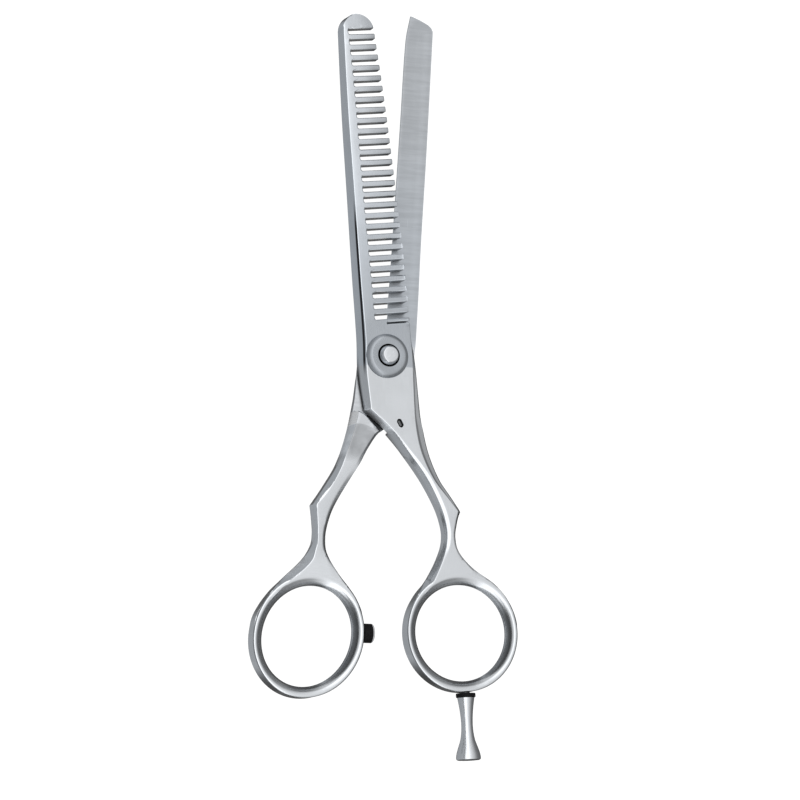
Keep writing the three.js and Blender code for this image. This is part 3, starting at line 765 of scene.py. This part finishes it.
def plain_heights(x, y):
    """Lower and upper heights of the plain half."""
    thickness = body_height(plain, plain_section, x, y)
    beyond = np.clip(beyond_lap(x, y, -1) / LAP_WALL, 0, 1)
    hollow = step(x - plain.left(y), *HOLLOW_LEFT) * step(plain.right(y) - x, *HOLLOW_RIGHT)
    hollow = hollow * between(y, *HOLLOW_Y)
    recess = 1 - step(np.hypot(x, y), GLIDE_RECESS_RADIUS, GLIDE_RECESS_RADIUS + RECESS_WALL)
    ride_face = -RUNNING_GAP - HOLLOW_DEPTH * hollow - GLIDE_RECESS_DEPTH * recess
    step_edge = np.clip(1 - (beyond_lap(x, y, -1) - LAP_WALL) / LAP_CHAMFER, 0, 1)
    upper = mix(ride_face, thickness - LAP_CHAMFER * step_edge, beyond)
    return np.minimum(-thickness, upper - LEAST), upper


def plain_plan():
    plan = Plan()
    half = plain
    ys = rows(TIP_Y - 0.1, half.ring.y)
    left = pairs(half.left(ys), ys)
    right_ys = ys[ys < TIP_CORNER[-1][1] - 0.4]
    right = pairs(half.right(right_ys), right_ys)
    plan.solid(np.vstack([left[::-1], TIP_CORNER, right]))
    add_long_body(plan, half, ys)
    add_ring(plan, half)
    plan.hole(circle(PLAIN_BORE))
    for radius in (GLIDE_RECESS_RADIUS, GLIDE_RECESS_RADIUS + RECESS_WALL):
        plan.line(circle(radius), closed=True)
    hollow_ys = ys[(ys > HOLLOW_Y[0]) & (ys < HOLLOW_Y[-1])]
    for inset in HOLLOW_LEFT[::-1]:
        plan.line(pairs(half.left(hollow_ys) + inset, hollow_ys))
    for inset in HOLLOW_RIGHT[::-1]:
        plan.line(pairs(half.right(hollow_ys) - inset, hollow_ys))
    add_lap_lines(plan, half, -1)
    return plan


# ---- Turned pieces ----


def turned(profile, segments=96, knurls=0, knurl_depth=0.0):
    """A solid turned about Z from (radius, height) points that run up its outside. A profile that comes
    back to its start makes a ring. Knurls scallop the widest part of the rim."""
    points, faces = [], []
    closed = profile[0] == profile[-1]
    circles = profile[:-1] if closed else profile
    widest = max(radius for radius, height in circles)
    turns = np.arange(segments) / segments * 2 * math.pi
    for radius, height in circles:
        dip = knurl_depth if radius > 0.9 * widest else 0
        reach = radius - dip * (0.5 - 0.5 * np.cos(turns * knurls))
        points.extend(zip(reach * np.cos(turns), reach * np.sin(turns), np.full(segments, height)))
    count = len(circles)
    for i in range(count if closed else count - 1):
        for k in range(segments):
            m = (k + 1) % segments
            above = (i + 1) % count
            faces.append((i * segments + k, i * segments + m, above * segments + m, above * segments + k))
    if not closed:
        faces.append(tuple(range(segments))[::-1])
        faces.append(tuple((count - 1) * segments + k for k in range(segments)))
    return np.array(points), faces


def rounded(profile, radius=0.08, count=3, closed=False):
    """The profile with each of its corners turned into a small arc."""
    corners = np.array(profile, float)
    out = []
    total = len(corners)
    for i, corner in enumerate(corners):
        if not closed and i in (0, total - 1):
            out.append(tuple(corner))
            continue
        before = corners[i - 1] - corner
        after = corners[(i + 1) % total] - corner
        reach = min(radius, 0.45 * np.hypot(*before), 0.45 * np.hypot(*after))
        start = corner + before / np.hypot(*before) * reach
        end = corner + after / np.hypot(*after) * reach
        for t in np.linspace(0, 1, count + 1):
            out.append(tuple((1 - t) ** 2 * start + 2 * t * (1 - t) * corner + t * t * end))
    return out + [out[0]] if closed else out


def half_span(low, high, axis):
    return (high[axis] - low[axis]) / 2


DISC_BEVEL = 1.25  # how far the disc's rounded rim comes in
DISC_ROUND = 2.2  # how square that rim is: 1 is a straight slope
DISC_WALL = 0.25  # height of the upright wall under it
DISC_HOLE = 2.5
FLANGE_RADIUS = 3.4
FLANGE_TOP = 0.5  # above the disc's foot
SCREW_RADIUS = 2.0
THREAD_RADIUS = 1.6
BUTTON_FOOT = 2.25
BUTTON_RADIUS = 1.85


def disc_shape():
    radius = half_span(disc_low, disc_high, 0)
    bottom, top = disc_low[2], disc_high[2]
    pocket = FLANGE_RADIUS + 0.05
    pocket_top = bottom + FLANGE_TOP + 0.04
    rim = []
    for t in np.linspace(0, 1, 8):
        rim.append((radius - DISC_BEVEL * t, mix(bottom + DISC_WALL, top, 1 - (1 - t) ** DISC_ROUND)))
    return turned(rounded([
        (pocket, bottom), (radius, bottom), *rim, (DISC_HOLE, top), (DISC_HOLE, pocket_top),
        (pocket, pocket_top),
    ], closed=True), 144)


def screw_shape():
    end, top = screw_low[2], screw_high[2]
    flange = disc_low[2]
    return turned(rounded([
        (0.05, end), (THREAD_RADIUS - 0.15, end), (THREAD_RADIUS, end + 0.15), (THREAD_RADIUS, nut_high[2]),
        (SCREW_RADIUS, nut_high[2] + 0.2), (SCREW_RADIUS, flange), (FLANGE_RADIUS, flange),
        (FLANGE_RADIUS, flange + FLANGE_TOP), (BUTTON_FOOT, flange + FLANGE_TOP),
        (BUTTON_FOOT, disc_high[2]), (BUTTON_RADIUS, top - 0.35), (BUTTON_RADIUS - 0.22, top - 0.08),
        (1, top - 0.02), (0.05, top),
    ]), 96)


NUT_KNURLS = 18
NUT_KNURL_DEPTH = 0.16
NUT_FACE_INSET = 0.55
NUT_BORE_DEPTH = 1.2


def nut_shape():
    radius = half_span(nut_low, nut_high, 0)
    bottom, top = nut_low[2], nut_high[2]
    bore = THREAD_RADIUS + 0.05
    floor = top - NUT_BORE_DEPTH
    return turned(rounded([
        (0.05, bottom), (radius - NUT_FACE_INSET, bottom), (radius, bottom + 0.3), (radius, top - 0.1),
        (radius - 0.1, top), (bore, top), (bore, floor), (0.05, floor),
    ]), NUT_KNURLS * 10, NUT_KNURLS, NUT_KNURL_DEPTH)


STEM_RADIUS, STEM_LENGTH = 0.9, 1.5


def bumper_shape():
    """The bumper points out of the plain ring along X; its stem sits in the ring."""
    foot = STEM_LENGTH + 0.05
    radius = half_span(bumper_low, bumper_high, 1)
    tip = bumper_high[0] - bumper_low[0]
    points, faces = turned(rounded([
        (0.05, 0), (STEM_RADIUS, 0), (STEM_RADIUS, foot), (radius - 0.12, foot), (radius, foot + 0.12),
        (radius, tip - 0.22), (radius - 0.22, tip), (0.05, tip),
    ], 0.12, 4), 72)
    middle_y = (bumper_low[1] + bumper_high[1]) / 2
    places = np.column_stack([points[:, 2] + bumper_low[0], points[:, 1] + middle_y, -points[:, 0]])
    return places, faces


REST_LEAN = math.radians(2.6)  # the finger rest leans towards +X at its end
REST_ROOT = (toothed_ring.x + 1.25, toothed_low[1])  # where its axis crosses the ring's edge
REST_START = 1.11  # from its root to its head
REST_LENGTH = 13.6
REST_STUD = (0.9, 1.7)
REST_WASHER = (0.98, 2.15, 0.12, 1.07)  # bore, radius and the places of its two faces below the root
rest_waist = curve(
    (0, 1.86), (-0.2, 1.47), (-0.4, 1.27), (-0.56, 1.33), (-0.7, 1.62), (-0.82, 2.15), (-0.93, 2.6),
    (-1, 2.72),
)


def along_rest(shape):
    """Lays a shape made along Z down the finger rest's axis, its root at the ring's edge."""
    points, faces = shape
    cosine, sine = math.cos(REST_LEAN), math.sin(REST_LEAN)
    turn = np.array([(cosine, sine, 0), (0, 0, -1), (-sine, cosine, 0)])
    return points @ turn + [*REST_ROOT, 0], faces


def rest_shape():
    stud_radius, stud_length = REST_STUD
    end = -REST_START - REST_LENGTH
    rim_end = end + 0.5
    waist = [(float(rest_waist(-t)), mix(-REST_START, rim_end, t)) for t in np.linspace(0, 1, 40)]
    outside = [*waist, (2.62, end + 0.22), (2.3, end + 0.06), (1.5, end), (0.05, end)]
    stud = [(0.05, stud_length), (stud_radius, stud_length), (stud_radius, -REST_START)]
    return along_rest(turned([*stud, *outside][::-1], 96))


def rest_washer_shape():
    bore, radius, near, far = REST_WASHER
    return along_rest(turned(rounded([
        (bore, -far), (radius, -far), (radius, -near), (bore, -near),
    ], 0.25, 5, closed=True), 72))


# ---- Materials ----


class Value:
    """A number that a tree's nodes work out at each point. It takes ordinary arithmetic."""

    def __init__(self, nodes, socket):
        self.nodes, self.socket = nodes, socket

    def __add__(self, other):
        return self.nodes.math("ADD", self, other)

    def __sub__(self, other):
        return self.nodes.math("SUBTRACT", self, other)

    def __mul__(self, other):
        return self.nodes.math("MULTIPLY", self, other)

    __radd__, __rmul__ = __add__, __mul__


class Nodes:
    """The node tree of a material or of the world, with short calls for the nodes they share."""

    def __init__(self, owner, shader="Principled BSDF"):
        owner.use_nodes = True
        self.owner, self.tree = owner, owner.node_tree
        self.shader = self.tree.nodes[shader]

    def add(self, kind, inputs=None, **settings):
        node = self.tree.nodes.new("ShaderNode" + kind)
        for key, value in settings.items():
            setattr(node, key, value)
        for key, value in (inputs or {}).items():
            self.set(node.inputs[key], value)
        return node

    def set(self, socket, value):
        if isinstance(value, Value):
            value = value.socket
        if isinstance(value, bpy.types.NodeSocket):
            self.tree.links.new(value, socket)
        else:
            socket.default_value = value

    def shade(self, inputs):
        """Sets the shader's inputs, and gives back the tree's material or world."""
        for key, value in inputs.items():
            self.set(self.shader.inputs[key], value)
        return self.owner

    def math(self, operation, a, b=0.0):
        return Value(self, self.add("Math", {0: a, 1: b}, operation=operation).outputs[0])

    def length(self, u, v):
        return self.math("SQRT", u * u + v * v)

    def ramp(self, value, low, high, out_low=0.0, out_high=1.0):
        """A smooth rise from out_low to out_high as value goes from low to high."""
        inputs = {"Value": value, "From Min": low, "From Max": high, "To Min": out_low, "To Max": out_high}
        node = self.add("MapRange", inputs, interpolation_type="SMOOTHSTEP")
        return Value(self, node.outputs["Result"])

    def vary(self, noise, low, high):
        """The range from low to high, spread over the middle of a noise."""
        return self.ramp(noise, 0.3, 0.7, low, high)

    def between(self, value, start, full, fading, end):
        """0 up to start, 1 from full to fading, and 0 again from end."""
        return self.ramp(value, start, full) * self.ramp(value, fading, end, 1.0, 0.0)

    def mixed(self, kind, share, a, b):
        return self.add("Mix", {"Factor": share, "A": a, "B": b}, data_type=kind).outputs["Result"]

    def split(self, vector):
        return [Value(self, part) for part in self.add("SeparateXYZ", {0: vector}).outputs]

    def place(self):
        """The point in millimetres in the frame."""
        point = self.add("TexCoord").outputs["Object"]
        return self.add("VectorMath", {0: point, "Scale": 1 / MM}, operation="SCALE").outputs[0]

    def point(self):
        """The point's x and y, and its height from the parting plane."""
        x, y, z = self.split(self.place())
        return x, y, z - PARTING

    def facing(self):
        """The surface's own direction, as x, y and z."""
        return self.split(self.add("NewGeometry").outputs["Normal"])

    def open_air(self, reach):
        """How open each point is to its surroundings within the reach."""
        return self.add("AmbientOcclusion", {"Distance": reach * MM}, samples=8).outputs["AO"]

    def noise(self, stretch, detail=3.0, turn=0.0):
        """Noise of about one cycle per millimetre, stretched by the given scales."""
        inputs = {"Vector": self.place(), "Scale": stretch, "Rotation": (0, 0, turn)}
        stretched = self.add("Mapping", inputs).outputs[0]
        inputs = {"Vector": stretched, "Scale": 1.0, "Detail": detail}
        return self.add("TexNoise", inputs).outputs["Fac"]

    def bump(self, height, distance):
        return self.add("Bump", {"Height": height, "Distance": distance * MM}).outputs["Normal"]


def grey(value, cool=0.033):
    """A slightly cool grey."""
    return (1 - cool) * value, value, (1 + 1.2 * cool) * value, 1


PATCH_SCALE = 0.12  # of the soft stains in steel
COOL = 0.06  # how cool the blades' grey is


def steel(name, tone, roughness, lines, line_depth=0.004, zones=None, shadow=(0.15, 0.75, 0.12), reach=3,
          blade=None):
    """Steel with fine ground lines, soft stains in its shine and painted highlights on its edges. Shadow is how
    open a crevice is where its painted shade starts and ends, and that shade's tone; reach is how far it looks.
    Zones give further (mask, tone factor, added roughness) areas, and from y = blade on it looks cooler."""
    n = Nodes(bpy.data.materials.new(name))
    ground = n.noise(lines, 4.0)
    patches = n.noise((PATCH_SCALE,) * 3)
    shade = n.vary(ground, 0.98, 1.02) * n.vary(patches, 0.97, 1.03)
    rough = n.ramp(ground, 0.2, 0.8, -0.04, 0.05) + roughness + n.vary(patches, -0.02, 0.03)
    # Painted highlight: sharp convex edges are made up to a tenth brighter.
    pointed = n.add("NewGeometry").outputs["Pointiness"]
    shade *= n.ramp(pointed, 0.52, 0.58, 1.0, 1.1)
    # Painted shade: darker where nearby surfaces close a point in.
    shade *= n.ramp(n.open_air(reach), *shadow, 1.0)
    for mask, factor, added in zones(n) if zones else ():
        shade *= n.mixed("FLOAT", mask, 1.0, factor)
        rough += mask * added
    cool = 0.0
    if blade:
        y = n.point()[1]
        cool = n.ramp(y, blade - 0.2, blade + 0.2) * n.ramp(y, 20.0, 60.0, 1.0, 0.5)
    hue = n.mixed("RGBA", cool, grey(tone), grey(tone, COOL))
    colour = n.add("VectorMath", {0: hue, "Scale": shade}, operation="SCALE").outputs[0]
    normal = n.bump(ground, line_depth)
    return n.shade({"Base Color": colour, "Metallic": 1, "Roughness": rough, "Normal": normal})


# A zone's mask is a product of ramps. Each is 0 at its first place or direction and 1 at its second, and
# one made with between fades from its third to its fourth.
ROOT_SLANT = 0.095  # how far X falls per millimetre of Y along the slots' roots
BEVEL_TOPS = (-27, -10, 2.25, 2.93)  # two places along the handle's bevel, and its top's height at them
# Tone of the painted shade in narrow gaps round the pivot's button.
GAP_SHADE = 0.04
# Tones of painted dark lines and edges, standing in for shade and dark reflections on the steel.
PAINTED_DARK_LINE = 0.5
PAINTED_DARK_EDGE = 0.4


def toothed_zones(n):
    """Satin on the blade, bright steel behind it, and painted light, shade and reflections on its walls, teeth and
    mark.
    """
    x, y, z = n.point()
    facing_x, facing_y, facing_z = n.facing()
    blade = n.ramp(facing_z, 0.9, 0.97) * n.ramp(y, -2.35, -2.0)
    spine = n.ramp(facing_x, -0.5, -0.8)
    # Painted reflection: a dark stripe along the spine's left wall.
    spine_reflection = spine * n.between(z, 1.9, 2.15, 2.6, 2.8) * n.between(y, -5.0, -1.0, 28.0, 36.0)
    # Painted shadow along the foot of the spine's wall, by the pivot.
    foot_shadow = spine * n.ramp(z, 1.1, 0.4) * n.between(y, -12.5, -11.5, -5.0, 1.0)
    # Painted light on the left-facing wall at the lap's corner.
    corner_wall_light = n.ramp(facing_x, -0.3, -0.6) * n.between(y, -16.6, -15.8, -12.0, -11.5)
    # Painted light and shade on the teeth's walls that face -Y: lighter by the roots, darker towards the tips.
    tooth_wall = n.ramp(facing_y, -0.5, -0.8) * n.ramp(y, 6.0, 7.5)
    from_root = y * ROOT_SLANT + x + 2.0
    # Painted shade on the teeth's tops towards their ends, strongest where they turn towards -Y.
    tooth_end_shade = n.ramp(facing_z, 0.3, 0.7) * n.ramp(from_root, 1.0, 6.5) * n.ramp(y, 22.0, 62.0)
    tooth_end_shade *= n.ramp(n.ramp(facing_y, 0.02, -0.35), 0.0, 1.0, 0.65, 1.0)
    shank = n.between(y, -33.5, -31.0, -4.0, -2.0)
    up_bevel = n.math("DIVIDE", z, n.ramp(y, *BEVEL_TOPS))
    # Painted light on the shank's right bevel, with painted dark lines along its outer edge and its top.
    bevel = n.ramp(facing_x, 0.3, 0.5) * shank
    bevel_edge = bevel * n.ramp(up_bevel, 0.7, 0.62)
    bevel_top = n.ramp(facing_x, 0.1, 0.25) * shank * n.ramp(up_bevel, 0.88, 0.93)
    # Painted shade in the mark's recess, with less of it in the recess's middle.
    u, v = lengthways(x - MARK[0], y - MARK[1], MARK_LEAN)
    from_mark = n.length(n.math("MAXIMUM", n.math("ABSOLUTE", u) - MARK_HALF_LENGTH, 0.0), v)
    above = n.ramp(z, 0.0, 0.5)
    mark = above * n.ramp(from_mark, MARK_RADIUS, MARK_RADIUS - 0.1)
    mark_floor = above * n.ramp(from_mark, 0.26, 0.18)
    return [
        (blade, n.ramp(y, 4.0, 45.0, 0.68, 0.97), 0.12),
        (tooth_end_shade, 0.62, 0.0),
        (spine_reflection, 0.05, 0.0),
        (foot_shadow, 0.05, 0.0),
        (corner_wall_light, 1.5, 0.5),
        (tooth_wall, n.ramp(from_root, 0.0, 8.0, 4.0, 0.25), 0.1),
        (bevel, 1.5, 0.0),
        (bevel_edge, PAINTED_DARK_EDGE, 0.0),
        (bevel_top, PAINTED_DARK_LINE, 0.0),
        (mark, 0.03, 0.2),
        (mark_floor, 8.0, 0.1),
        *ring_zones(n, toothed_ring),
    ]


def ring_zones(n, ring):
    """Painted shade on both halves: on their steep right edges, and as dark lines on and in their rings."""
    x, y, z = n.point()
    facing_x, facing_y, _ = n.facing()
    # Painted shade on the steep right-hand edges of the handles and rings.
    handle_edge = n.ramp(facing_x, 0.42, 0.82) * n.ramp(y, -24.0, -27.0)
    ring_edge = n.ramp(facing_x, 0.15, 0.65) * n.ramp(y, -46.0, -50.0)
    right_edge = n.math("MAXIMUM", handle_edge, ring_edge)
    # Painted dark line on the steep left-facing rolls by the ring.
    roll_line = n.between(facing_x, -0.9, -0.75, -0.52, -0.38) * n.ramp(y, -52.0, -56.0)
    # Painted dark line inside the ring, where its inside faces towards +Y and -X.
    u, v = lengthways(x - ring.x, y - ring.y, ring.tilt)
    out = n.length(u * (1 / ring.across), v * (1 / ring.along))
    to_upper_left = (facing_y - facing_x) * 0.7
    inner_line = n.ramp(out, 1.03, 1.0) * n.between(z, 0.55, 0.9, 1.45, 1.7) * n.ramp(to_upper_left, 0.1, 0.4)
    return [(right_edge, PAINTED_DARK_EDGE, 0.0), (roll_line, PAINTED_DARK_LINE, 0.0), (inner_line, PAINTED_DARK_LINE, 0.0)]


def plain_zones(n):
    """Satin on the blade and scoop, painted light and shade about the lap's step, and bright steel elsewhere."""
    x, y, z = n.point()
    facing_x, _, facing_z = n.facing()
    blade = n.ramp(y, -12.6, -12.0)
    ground = n.noise((0.13, 1.5, 1.5), 5.0, -0.07)
    bowed = n.math("POWER", x - SCOOP_MIDDLE, 2.0) * SCOOP_BOW + y
    scoop = n.ramp(y, SCOOP[0], SCOOP[1]) * n.ramp(bowed, SCOOP[2] + 0.5, SCOOP[2] + 0.3)
    flat = n.ramp(z, 0.5, 0.2) * n.ramp(facing_z, 0.5, 0.8)
    ride_strip = flat * n.between(y, -13.0, -12.0, 2.0, 5.0)
    crevice = n.ramp(n.open_air(3), 0.82, 0.62)
    # Painted shadow on the ride face in the gap beside the lap's step, where it is closed in.
    gap_shadow = flat * n.ramp(y, -12.45, -12.9) * crevice
    # Painted shade in the lap's corner, where it is closed in.
    lap_corner_shade = n.between(z, -0.6, -0.3, 2.2, 2.6) * n.ramp(facing_z, 0.6, 0.3) * n.ramp(facing_x, 0.1, 0.4)
    lap_corner_shade *= n.ramp(x, -5.8, -4.8) * n.between(y, -24.0, -22.0, -12.2, -11.4) * crevice
    shoulder = n.between(y, -23.0, -20.5, -12.6, -12.1)
    # Painted light on the shoulder's left-facing wall, and a painted dark line along its edge.
    shoulder_wall = n.ramp(facing_x, -0.6, -0.8) * shoulder
    shoulder_edge = n.between(facing_x, -0.65, -0.55, -0.25, -0.12) * shoulder
    return [
        (blade, n.vary(ground, 0.61, 0.69), 0.16),
        (scoop, n.ramp(n.noise((0.4, 0.4, 0.4)), 0.35, 0.65, 0.68, 0.8), 0.14),
        (ride_strip, 1.4, 0.0),
        (gap_shadow, 0.06, 0.2),
        (lap_corner_shade, 0.12, 0.1),
        (shoulder, 0.9, 0.0),
        (shoulder_wall, n.ramp(y, -15.6, -14.6, 1.9, 3.4), 0.1),
        (shoulder_edge, 0.52, 0.1),
        *ring_zones(n, plain_ring),
    ]


def rest_zones(n):
    """Painted shade on the finger rest's right side, which faces the dark side of the room."""
    return [(n.ramp(n.facing()[0], -0.4, 0.8), 0.45, 0.08)]


def screw_zones(n):
    """Painted shade round the button's foot, where it stands in the disc's hole."""
    return [(n.ramp(n.point()[2], disc_high[2] + 0.45, disc_high[2] + 0.1), GAP_SHADE, 0.2)]


def disc_zones(n):
    """Painted shade in the disc's hole, and on the left-facing side of its rim, which is also made duller."""
    x, y, _ = n.point()
    hole = n.ramp(n.length(x, y), DISC_HOLE + 0.06, DISC_HOLE)
    return [(hole, GAP_SHADE, 0.2), (n.ramp(n.facing()[0], -0.12, -0.4), 0.9, 0.2)]


def grained(name, scale, detail, spread, dark, light, rough, depth):
    """A material mottled by a fine grain, with its colours and roughness from the grain's low to high."""
    n = Nodes(bpy.data.materials.new(name))
    grain = n.noise((scale,) * 3, detail)
    colour = n.mixed("RGBA", n.ramp(grain, *spread), (*dark, 1), (*light, 1))
    n.shade({"Base Color": colour, "Roughness": n.vary(grain, *rough), "Normal": n.bump(grain, depth)})
    return n, colour


def rubber():
    """Black rubber, with a painted grey highlight at the bumper's end."""
    n, colour = grained(
        "rubber", 6, 5.0, (0.35, 0.7), (0.002, 0.002, 0.002), (0.008, 0.008, 0.009), (0.45, 0.65), 0.02,
    )
    tip = bumper_high[0]
    # Painted highlight: the bumper's end turns grey.
    end = n.between(n.point()[0], tip - 0.5, tip - 0.35, tip, tip + 0.1)
    colour = n.mixed("RGBA", end, colour, (0.3, 0.3, 0.31, 1))
    return n.shade({"Base Color": colour, "Specular IOR Level": 0.05})


def polymer():
    n, _ = grained("polymer", 4, 5.0, (0.3, 0.7), (0.72, 0.7, 0.64), (0.84, 0.82, 0.77), (0.45, 0.6), 0.01)
    return n.owner


def bronze():
    """Porous sintered bronze."""
    n, _ = grained("bronze", 9, 6.0, (0.3, 0.6), (0.25, 0.15, 0.07), (0.62, 0.42, 0.2), (0.5, 0.32), 0.02)
    return n.shade({"Metallic": 1})


# ---- The object ----

ALONG = (9, 0.25, 9)  # scales of ground lines that run along the object
ROUND = (6, 6, 0.4)  # and of turned lines

rubber_finish = rubber()
toothed_steel = steel(
    "toothed_steel", 0.62, 0.17, ALONG, zones=toothed_zones, shadow=(0.1, 0.5, 0.35), blade=-2.2,
)
plain_steel = steel(
    "plain_steel", 0.66, 0.18, (0.35, 7, 9), 0.005, plain_zones, (0.5, 0.85, 0.62), 1.2, blade=3,
)
screw_steel = steel("screw_steel", 0.66, 0.2, (3, 3, 3), zones=screw_zones)
disc_steel = steel("disc_steel", 0.39, 0.26, ROUND, zones=disc_zones, blade=-10)
nut_steel = steel("nut_steel", 0.45, 0.28, ROUND)
rest_steel = steel("bright_steel", 0.64, 0.24, ALONG, zones=rest_zones)

body_of = {}
for body, members in frame["record"]["behaviour"]["bodies"].items():
    body_of.update(dict.fromkeys(members, body))

for node, slot, material, shape in (
    ("toothed_half", "polished_steel", toothed_steel, raised(toothed_plan(), toothed_heights)),
    ("plain_half", "satin_steel", plain_steel, raised(plain_plan(), plain_heights)),
    ("pivot_screw", "polished_steel", screw_steel, screw_shape()),
    ("pivot_disc", "pivot_steel", disc_steel, disc_shape()),
    ("tension_nut", "pivot_steel", nut_steel, nut_shape()),
    ("rubber_bumper", "rubber", rubber_finish, bumper_shape()),
    ("finger_rest", "polished_steel", rest_steel, rest_shape()),
    ("finger_rest_washer", "rubber", rubber_finish, rest_washer_shape()),
):
    piece = make(node + "_fine", *shape)
    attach(piece, body_of[node])
    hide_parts(node)
    piece.data.materials.append(material)

for node, material in (
    ("bearing_bush", bronze()), ("glide_washer", polymer()), ("thrust_washer", polymer()),
    ("spring_washer", steel("spring_steel", 0.35, 0.35, (5, 5, 5))),
):
    slots_of_node = frame["nodes"][node].data.materials
    slots_of_node.clear()
    slots_of_node.append(material)

# ---- Studio ----

LIGHT_STRENGTH = 1.75
# The cards round the object in X and Z: each stop's angle from +X towards +Z, brightness and coolness.
CARDS = [
    (-180, 0.29, 0.03), (-105, 0.26, 0.03), (-95, 0.08, 0), (-50, 0.05, 0), (-32, 0.12, 0), (-18, 0.22, 0),
    (0, 0.22, 0), (10, 0.2, 0), (22, 0.24, 0), (34, 0.34, 0), (52, 0.52, 0), (69, 0.57, 0), (82, 0.66, 0),
    (96, 0.8, 0), (103, 1, 0), (139, 1, 0), (143, 0.15, 0.02), (154, 0.15, 0.02), (163, 0.33, 0.03),
    (180, 0.29, 0.03),
]


def studio_world():
    """Light from all round, as a band of bright and dark cards that arches over the object in X and Z."""
    n = Nodes(bpy.data.worlds.new("studio"), "Background")
    x, _, z = n.split(n.add("TexCoord").outputs["Generated"])
    angle = n.math("ARCTAN2", z, x)
    share = n.add("MapRange", {"Value": angle, "From Min": -math.pi, "From Max": math.pi})
    ramp = n.add("ValToRGB", {"Fac": share.outputs["Result"]})
    stops = ramp.color_ramp.elements
    while len(stops) < len(CARDS):
        stops.new(0.5)
    for stop, (degrees, level, cool) in zip(stops, CARDS):
        stop.position = (degrees + 180) / 360
        stop.color = (level * (1 - cool), level, level * (1 + cool), 1)
    world = n.shade({"Color": ramp.outputs["Color"], "Strength": LIGHT_STRENGTH})
    bpy.context.scene.world = world


def floor():
    """A plain pale floor with a light of its own, so that it stays even."""
    side = 1.5
    mesh = bpy.data.meshes.new("floor")
    corners = [(-side, -side, 0), (side, -side, 0), (side, side, 0), (-side, side, 0)]
    mesh.from_pydata(corners, [], [(0, 1, 2, 3)])
    mesh.materials.append(Nodes(bpy.data.materials.new("pale_floor")).shade({
        "Base Color": (0.08, 0.08, 0.08, 1), "Roughness": 0.9,
        "Emission Color": (1, 1, 1, 1), "Emission Strength": 0.97,
    }))
    piece = placed("floor", mesh)
    piece.visible_glossy = False


def soft_light():
    """A wide soft light overhead for the floor and the rubber, kept out of the steel's reflections."""
    lamp = bpy.data.lights.new("soft_light", "AREA")
    lamp.shape = "DISK"
    lamp.size = 0.9
    lamp.energy = 6
    light = placed("soft_light", lamp)
    light.location = (-0.1, 0.1, 0.8)
    light.visible_glossy = False


VIEW_TILT = math.radians(21)  # the camera leans this far from overhead towards -X
VIEW_PITCH = math.radians(9.5)  # and this far towards -Y
VIEW_DISTANCE = 740
VIEW_SHIFT = (3.9, -9.13)  # of the view's middle from the pivot, to the right and up


def camera():
    data = bpy.data.cameras.new("camera")
    data.sensor_width = 36
    data.lens = 152.05
    data.clip_end = 10
    viewer = placed("camera", data)
    turn = Matrix.Rotation(-VIEW_TILT, 4, "Y") @ Matrix.Rotation(VIEW_PITCH, 4, "X")
    place = turn @ Vector((*VIEW_SHIFT, VIEW_DISTANCE)) + Vector((0, 0, PARTING))
    viewer.matrix_world = Matrix.Translation(place * MM) @ turn
    bpy.context.scene.camera = viewer


studio_world()
floor()
soft_light()
camera()
bpy.context.scene.view_settings.view_transform = "Standard"
